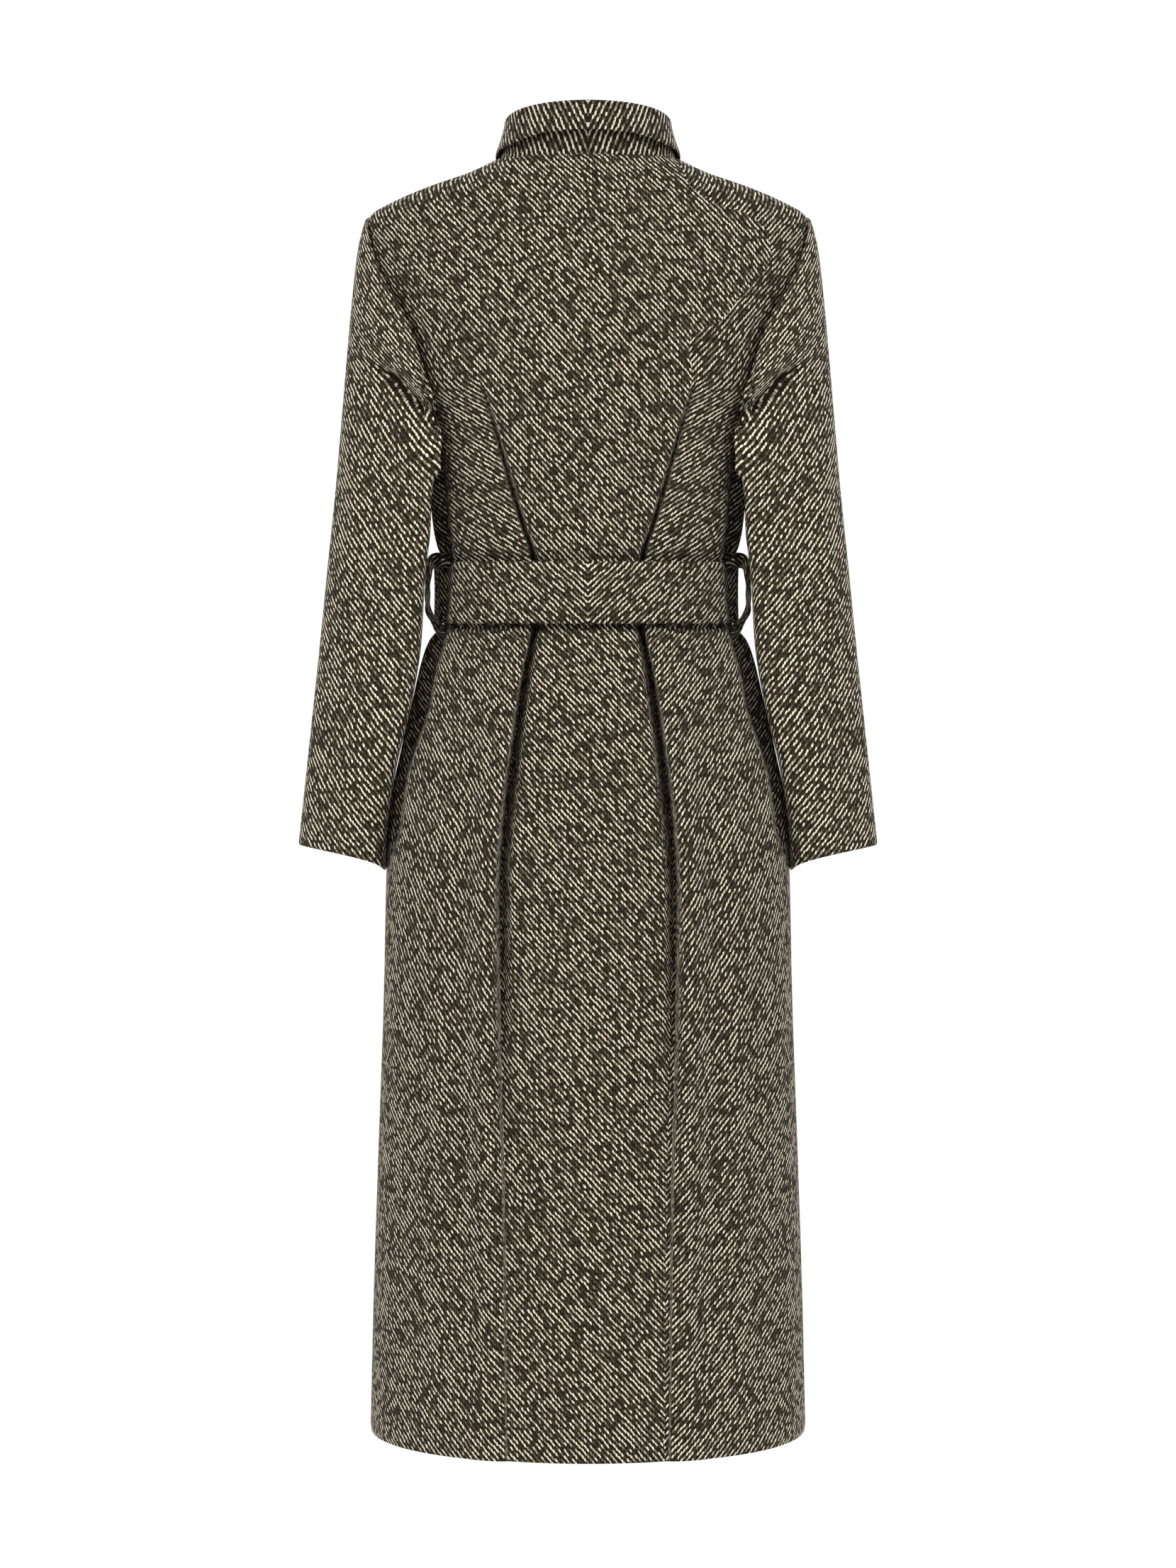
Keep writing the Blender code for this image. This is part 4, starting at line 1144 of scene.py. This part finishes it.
def rounded(outer, inner, ring):
    """Draws the two faces of a wall together at its edges, so that they read as folded."""
    outer, inner = outer.copy(), inner.copy()
    lines = [np.s_[0, :], np.s_[-1, :]]
    if not ring:
        lines += [np.s_[1:-1, 0], np.s_[1:-1, -1]]
    for line in lines:
        wall = inner[line] - outer[line]
        outer[line] += wall * EDGE_ROUNDING
        inner[line] -= wall * EDGE_ROUNDING
    return outer, inner


class Nodes:
    """Short ways to add shader nodes to one material."""

    def __init__(self, tree):
        self.tree = tree

    def add(self, kind, **settings):
        node = self.tree.nodes.new(kind)
        for key, value in settings.items():
            setattr(node, key, value)
        return node

    def put(self, value, socket):
        if isinstance(value, bpy.types.NodeSocket):
            self.tree.links.new(value, socket)
        else:
            socket.default_value = value

    def math(self, operation, first, second=0.0):
        node = self.add("ShaderNodeMath", operation=operation)
        self.put(first, node.inputs[0])
        self.put(second, node.inputs[1])
        return node.outputs[0]

    def sum_of(self, first, times, second):
        node = self.add("ShaderNodeMath", operation="MULTIPLY_ADD")
        for socket, value in zip(node.inputs, (first, times, second)):
            self.put(value, socket)
        return node.outputs[0]

    def vector(self, operation, first, second=(0.0, 0.0, 0.0), output="Vector"):
        node = self.add("ShaderNodeVectorMath", operation=operation)
        self.put(first, node.inputs[0])
        self.put(second, node.inputs[1])
        return node.outputs[output]

    def join(self, x, y, z=0.0):
        node = self.add("ShaderNodeCombineXYZ")
        for socket, value in zip(node.inputs, (x, y, z)):
            self.put(value, socket)
        return node.outputs[0]

    def split(self, vector):
        node = self.add("ShaderNodeSeparateXYZ")
        self.put(vector, node.inputs[0])
        return node.outputs

    def span(self, value, low, high, to_low=0.0, to_high=1.0):
        node = self.add("ShaderNodeMapRange", interpolation_type="SMOOTHSTEP")
        self.put(value, node.inputs["Value"])
        node.inputs["From Min"].default_value = low
        node.inputs["From Max"].default_value = high
        self.put(to_low, node.inputs["To Min"])
        self.put(to_high, node.inputs["To Max"])
        return node.outputs["Result"]

    def noise(self, vector, scale, detail=2.0):
        node = self.add("ShaderNodeTexNoise")
        self.put(vector, node.inputs["Vector"])
        node.inputs["Scale"].default_value = scale
        node.inputs["Detail"].default_value = detail
        return node.outputs

    def drift(self, vector, scale, size):
        """A small sideways wander that changes over the cloth."""
        centred = self.vector("SUBTRACT", self.noise(vector, scale)[1], (0.5, 0.5, 0.5))
        return self.vector("MULTIPLY", centred, (size, size, 0.0))

    def mix(self, share, first, second):
        node = self.add("ShaderNodeMix", data_type="RGBA")
        self.put(share, node.inputs["Factor"])
        colours = [socket for socket in node.inputs if socket.type == "RGBA"]
        self.put(first, colours[0])
        self.put(second, colours[1])
        return next(socket for socket in node.outputs if socket.type == "RGBA")


def lattice_steps(lean, coarseness):
    """The two steps between dashes, leaned by an angle in degrees and scaled."""
    right_turn = coarseness * math.cos(math.radians(lean))
    down_turn = coarseness * math.sin(math.radians(lean))
    steps = []
    for right, down in (STEP_DOWN, STEP_UP):
        steps.append((right * right_turn - down * down_turn, right * down_turn + down * right_turn))
    return steps


def weave_place(nodes, seed):
    """Where a point lies on the cloth, its sideways run turned over where the twill is."""
    weave = nodes.add("ShaderNodeUVMap", uv_map="weave").outputs[0]
    turn = nodes.add("ShaderNodeAttribute", attribute_name="twill_turn").outputs["Fac"]
    ragged = nodes.math("SUBTRACT", nodes.noise(weave, RAGGED_SCALE)[0], 0.5)
    ragged = nodes.sum_of(ragged, RAGGED_SIZE, turn)
    way = nodes.span(ragged, -TURN_BLUR, 0.0, -1.0, 1.0)
    across, down, _ = nodes.split(weave)
    return nodes.join(nodes.math("MULTIPLY", across, way), down, seed)


def lattice_place(nodes, bent, kind):
    """A point's two coordinates, counted in steps of the lattice."""
    (right_a, down_a), (right_b, down_b) = lattice_steps(kind.lean, kind.coarseness)
    area = right_a * down_b - down_a * right_b
    first = nodes.vector("DOT_PRODUCT", bent, (down_b / area, -right_b / area, 0.0), "Value")
    second = nodes.vector("DOT_PRODUCT", bent, (-down_a / area, right_a / area, 0.0), "Value")
    return first, second


def dashes(nodes, first, second, length, width, seed):
    """Soft ovals on a lattice, each with a little wander, and a random number for each."""
    cell_first = nodes.math("FLOOR", first)
    cell_second = nodes.math("FLOOR", second)
    cell = nodes.join(cell_first, cell_second, seed)
    random = nodes.add("ShaderNodeTexWhiteNoise", noise_dimensions="3D")
    nodes.put(cell, random.inputs["Vector"])
    shift = nodes.vector("SUBTRACT", random.outputs["Color"], (0.5, 0.5, 0.5))
    shift_first, shift_second, _ = nodes.split(shift)
    off_first = nodes.math("SUBTRACT", nodes.math("SUBTRACT", first, cell_first), 0.5)
    off_second = nodes.math("SUBTRACT", nodes.math("SUBTRACT", second, cell_second), 0.5)
    off_first = nodes.math("ADD", off_first, nodes.math("MULTIPLY", shift_first, DASH_WANDER[0]))
    off_second = nodes.math("ADD", off_second, nodes.math("MULTIPLY", shift_second, DASH_WANDER[1]))
    off_second = nodes.sum_of(off_first, DASH_SKEW, off_second)
    long = nodes.math("POWER", nodes.math("ABSOLUTE", nodes.math("DIVIDE", off_first, length)), 2.0)
    short = nodes.math("POWER", nodes.math("ABSOLUTE", nodes.math("DIVIDE", off_second, width)), 2.0)
    return nodes.span(nodes.math("ADD", long, short), *DASH_EDGE), random.outputs["Value"]


def pale_share(nodes, place, dash, chance, yarn, bare):
    """How much pale yarn shows: dashes are left out singly and in patches."""
    patch = nodes.noise(place, PATCH_SCALE)[0]
    kept = nodes.sum_of(chance, CHANCE_WEIGHT, nodes.math("MULTIPLY", patch, PATCH_WEIGHT))
    kept = nodes.span(kept, bare, bare + BARE_SPAN, FAINT_DASH, 1.0)
    pale = nodes.math("MULTIPLY", dash, kept)
    return nodes.math("MULTIPLY", pale, nodes.span(yarn, *YARN_SPAN, *YARN_SHADE))


def yarn_colour(nodes, place, bent, pale, chance, dark_dash):
    """Ivory dashes over a dark ground of brown, olive and maroon yarns."""
    olive = nodes.span(nodes.noise(place, OLIVE_SCALE, GROUND_DETAIL)[0], *OLIVE_SPAN)
    maroon = nodes.span(nodes.noise(bent, MAROON_SCALE, GROUND_DETAIL)[0], *MAROON_SPAN)
    ground = nodes.mix(maroon, nodes.mix(olive, BROWN, OLIVE), MAROON)
    lit = nodes.mix(nodes.sum_of(dark_dash, *DARK_SHARE), BLACK_BROWN, ground)
    ivory = nodes.mix(nodes.span(chance, *IVORY_SPAN), IVORY_GREY, IVORY)
    return nodes.mix(pale, lit, ivory)


def yarn_relief(nodes, dash, dark_dash, yarn):
    """The small rise of the yarns over the cloth."""
    pale_rise = nodes.math("MULTIPLY", dash, DASH_RISE)
    relief = nodes.math("ADD", pale_rise, nodes.math("MULTIPLY", dark_dash, DARK_RISE))
    relief = nodes.math("ADD", relief, nodes.math("MULTIPLY", yarn, YARN_RISE))
    bump = nodes.add("ShaderNodeBump")
    bump.inputs["Strength"].default_value = BUMP_STRENGTH
    bump.inputs["Distance"].default_value = BUMP_DEPTH
    nodes.put(relief, bump.inputs["Height"])
    return bump.outputs[0]


def tweed(name):
    """Coarse tweed twill: pale dashes on a lattice, over a dark ground of mixed yarns."""
    kind = TWEEDS[name]
    material = bpy.data.materials.new(name)
    material.use_nodes = True
    nodes = Nodes(material.node_tree)
    shader = material.node_tree.nodes["Principled BSDF"]

    place = weave_place(nodes, kind.seed)
    bent = place
    for scale, size in WANDER:
        bent = nodes.vector("ADD", bent, nodes.drift(place, scale, size))
    first, second = lattice_place(nodes, bent, kind)
    dash, chance = dashes(nodes, first, second, kind.dash_length, DASH_WIDTH, kind.seed)
    dark_first = nodes.math("ADD", first, 0.5)
    dark_second = nodes.math("ADD", second, 0.5)
    dark_dash, _ = dashes(nodes, dark_first, dark_second, DARK_LENGTH, DARK_WIDTH, kind.seed + DARK_SEED)
    yarn = nodes.noise(place, YARN_SCALE)[0]

    pale = pale_share(nodes, place, dash, chance, yarn, kind.bare)
    # the tone lightens the sleeves' colour as painted light and darkens the belt loops' colour as painted
    # shade
    tone = nodes.add("ShaderNodeHueSaturation")
    tone.inputs["Value"].default_value = kind.brightness
    nodes.put(yarn_colour(nodes, place, bent, pale, chance, dark_dash), tone.inputs["Color"])
    nodes.put(tone.outputs[0], shader.inputs["Base Color"])
    nodes.put(yarn_relief(nodes, dash, dark_dash, yarn), shader.inputs["Normal"])
    nodes.put(nodes.span(yarn, *ROUGH_SPAN, *ROUGHNESS), shader.inputs["Roughness"])
    shader.inputs["Specular IOR Level"].default_value = SPECULAR
    shader.inputs["Sheen Weight"].default_value = SHEEN
    shader.inputs["Sheen Roughness"].default_value = SHEEN_ROUGHNESS
    return material


def plain_white(name):
    """A faintly mottled white."""
    material = bpy.data.materials.new(name)
    material.use_nodes = True
    nodes = Nodes(material.node_tree)
    shader = material.node_tree.nodes["Principled BSDF"]
    place = nodes.add("ShaderNodeTexCoord").outputs["Object"]
    grain = nodes.noise(place, FLOOR_MOTTLE)[0]
    nodes.put(nodes.mix(grain, FLOOR_PALE, FLOOR_PALER), shader.inputs["Base Color"])
    shader.inputs["Roughness"].default_value = FLOOR_ROUGHNESS
    shader.inputs["Emission Color"].default_value = WHITE
    shader.inputs["Emission Strength"].default_value = FLOOR_GLOW
    return material


def add_camera():
    """A level camera, shifted down so that its eye line falls where the photograph's does."""
    lens = bpy.data.cameras.new("camera")
    camera = bpy.data.objects.new("camera", lens)
    bpy.context.scene.collection.objects.link(camera)
    lens.sensor_width = SENSOR_MM
    lens.sensor_fit = "AUTO"
    lens.lens = SENSOR_MM * EYE_DISTANCE / (IMAGE_HEIGHT * METRES_PER_PIXEL)
    lens.shift_y = (EYE_PIXEL - IMAGE_HEIGHT / 2) / IMAGE_HEIGHT
    camera.location = (0.0, EYE_DISTANCE, EYE_HEIGHT)
    camera.rotation_euler = (math.pi / 2, 0.0, math.pi)
    bpy.context.scene.camera = camera


def add_area_light(name, place, aim, size, power):
    """A soft oblong light, turned towards a point."""
    light = bpy.data.lights.new(name, "AREA")
    light.shape = "RECTANGLE"
    light.size, light.size_y = size
    light.energy = power
    made = bpy.data.objects.new(name, light)
    bpy.context.scene.collection.objects.link(made)
    made.location = place
    heading = np.array(aim) - np.array(place)
    made.rotation_euler = (
        math.atan2(math.hypot(heading[0], heading[1]), -heading[2]),
        0.0,
        math.atan2(heading[1], heading[0]) - math.pi / 2,
    )


def add_floor():
    """A plain pale round floor."""
    mesh = bpy.data.meshes.new("floor")
    turns = np.linspace(0, 2 * math.pi, FLOOR_SIDES + 1)[:-1]
    rim = [(FLOOR_RADIUS * math.cos(turn), FLOOR_RADIUS * math.sin(turn), 0.0) for turn in turns]
    mesh.from_pydata(rim, [], [list(range(FLOOR_SIDES))])
    mesh.materials.append(plain_white("floor_white"))
    floor = bpy.data.objects.new("floor", mesh)
    floor.location.z = FLOOR_HEIGHT
    bpy.context.scene.collection.objects.link(floor)


def add_world():
    """A white background, and a dimmer even light from all round."""
    world = bpy.data.worlds.new("studio")
    bpy.context.scene.world = world
    world.use_nodes = True
    tree = world.node_tree
    light = tree.nodes["Background"]
    light.inputs["Color"].default_value = WHITE
    light.inputs["Strength"].default_value = AMBIENT
    white = tree.nodes.new("ShaderNodeBackground")
    white.inputs["Color"].default_value = WHITE
    white.inputs["Strength"].default_value = 1.0
    path = tree.nodes.new("ShaderNodeLightPath")
    mix = tree.nodes.new("ShaderNodeMixShader")
    tree.links.new(path.outputs["Is Camera Ray"], mix.inputs["Fac"])
    tree.links.new(light.outputs["Background"], mix.inputs[1])
    tree.links.new(white.outputs["Background"], mix.inputs[2])
    tree.links.new(mix.outputs["Shader"], tree.nodes["World Output"].inputs["Surface"])


def add_studio():
    """A pale floor, a white world, and a soft light high on each corner."""
    add_floor()
    add_world()
    across, along, height = KEY_PLACE
    for side, side_sign in (("left", 1), ("right", -1)):
        for end, end_sign in (("back", 1), ("front", -1)):
            place = (side_sign * across, end_sign * along, height)
            add_area_light("key_" + end + "_" + side, place, COAT_MIDDLE, KEY_SIZE, KEY_POWER)
    bpy.context.scene.view_settings.view_transform = "Standard"


def dress():
    """Every piece of the coat, in place of its solid."""
    materials = {name: tweed(name) for name in TWEEDS}
    walls = {
        "back": back_panel(),
        "front_left": front_panel(1),
        "front_right": front_panel(-1),
        "sleeve_left": sleeve_walls(1),
        "sleeve_right": sleeve_walls(-1),
        "collar_stand": collar_stand_walls(),
        "collar_fall": collar_fall_walls(),
        "belt_band": belt_walls(),
        "belt_knot": knot_walls(),
        "belt_end_left": end_walls(END_LEFT),
        "belt_end_right": end_walls(END_RIGHT),
        "belt_loop_left": loop_walls(1),
        "belt_loop_right": loop_walls(-1),
    }
    for node, cut in CUTS.items():
        piece = add_shell(node + "_cloth", walls[node], materials[cut.tweed], cut.ring)
        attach(piece, "root")
        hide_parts(node)


add_camera()
add_studio()
dress()
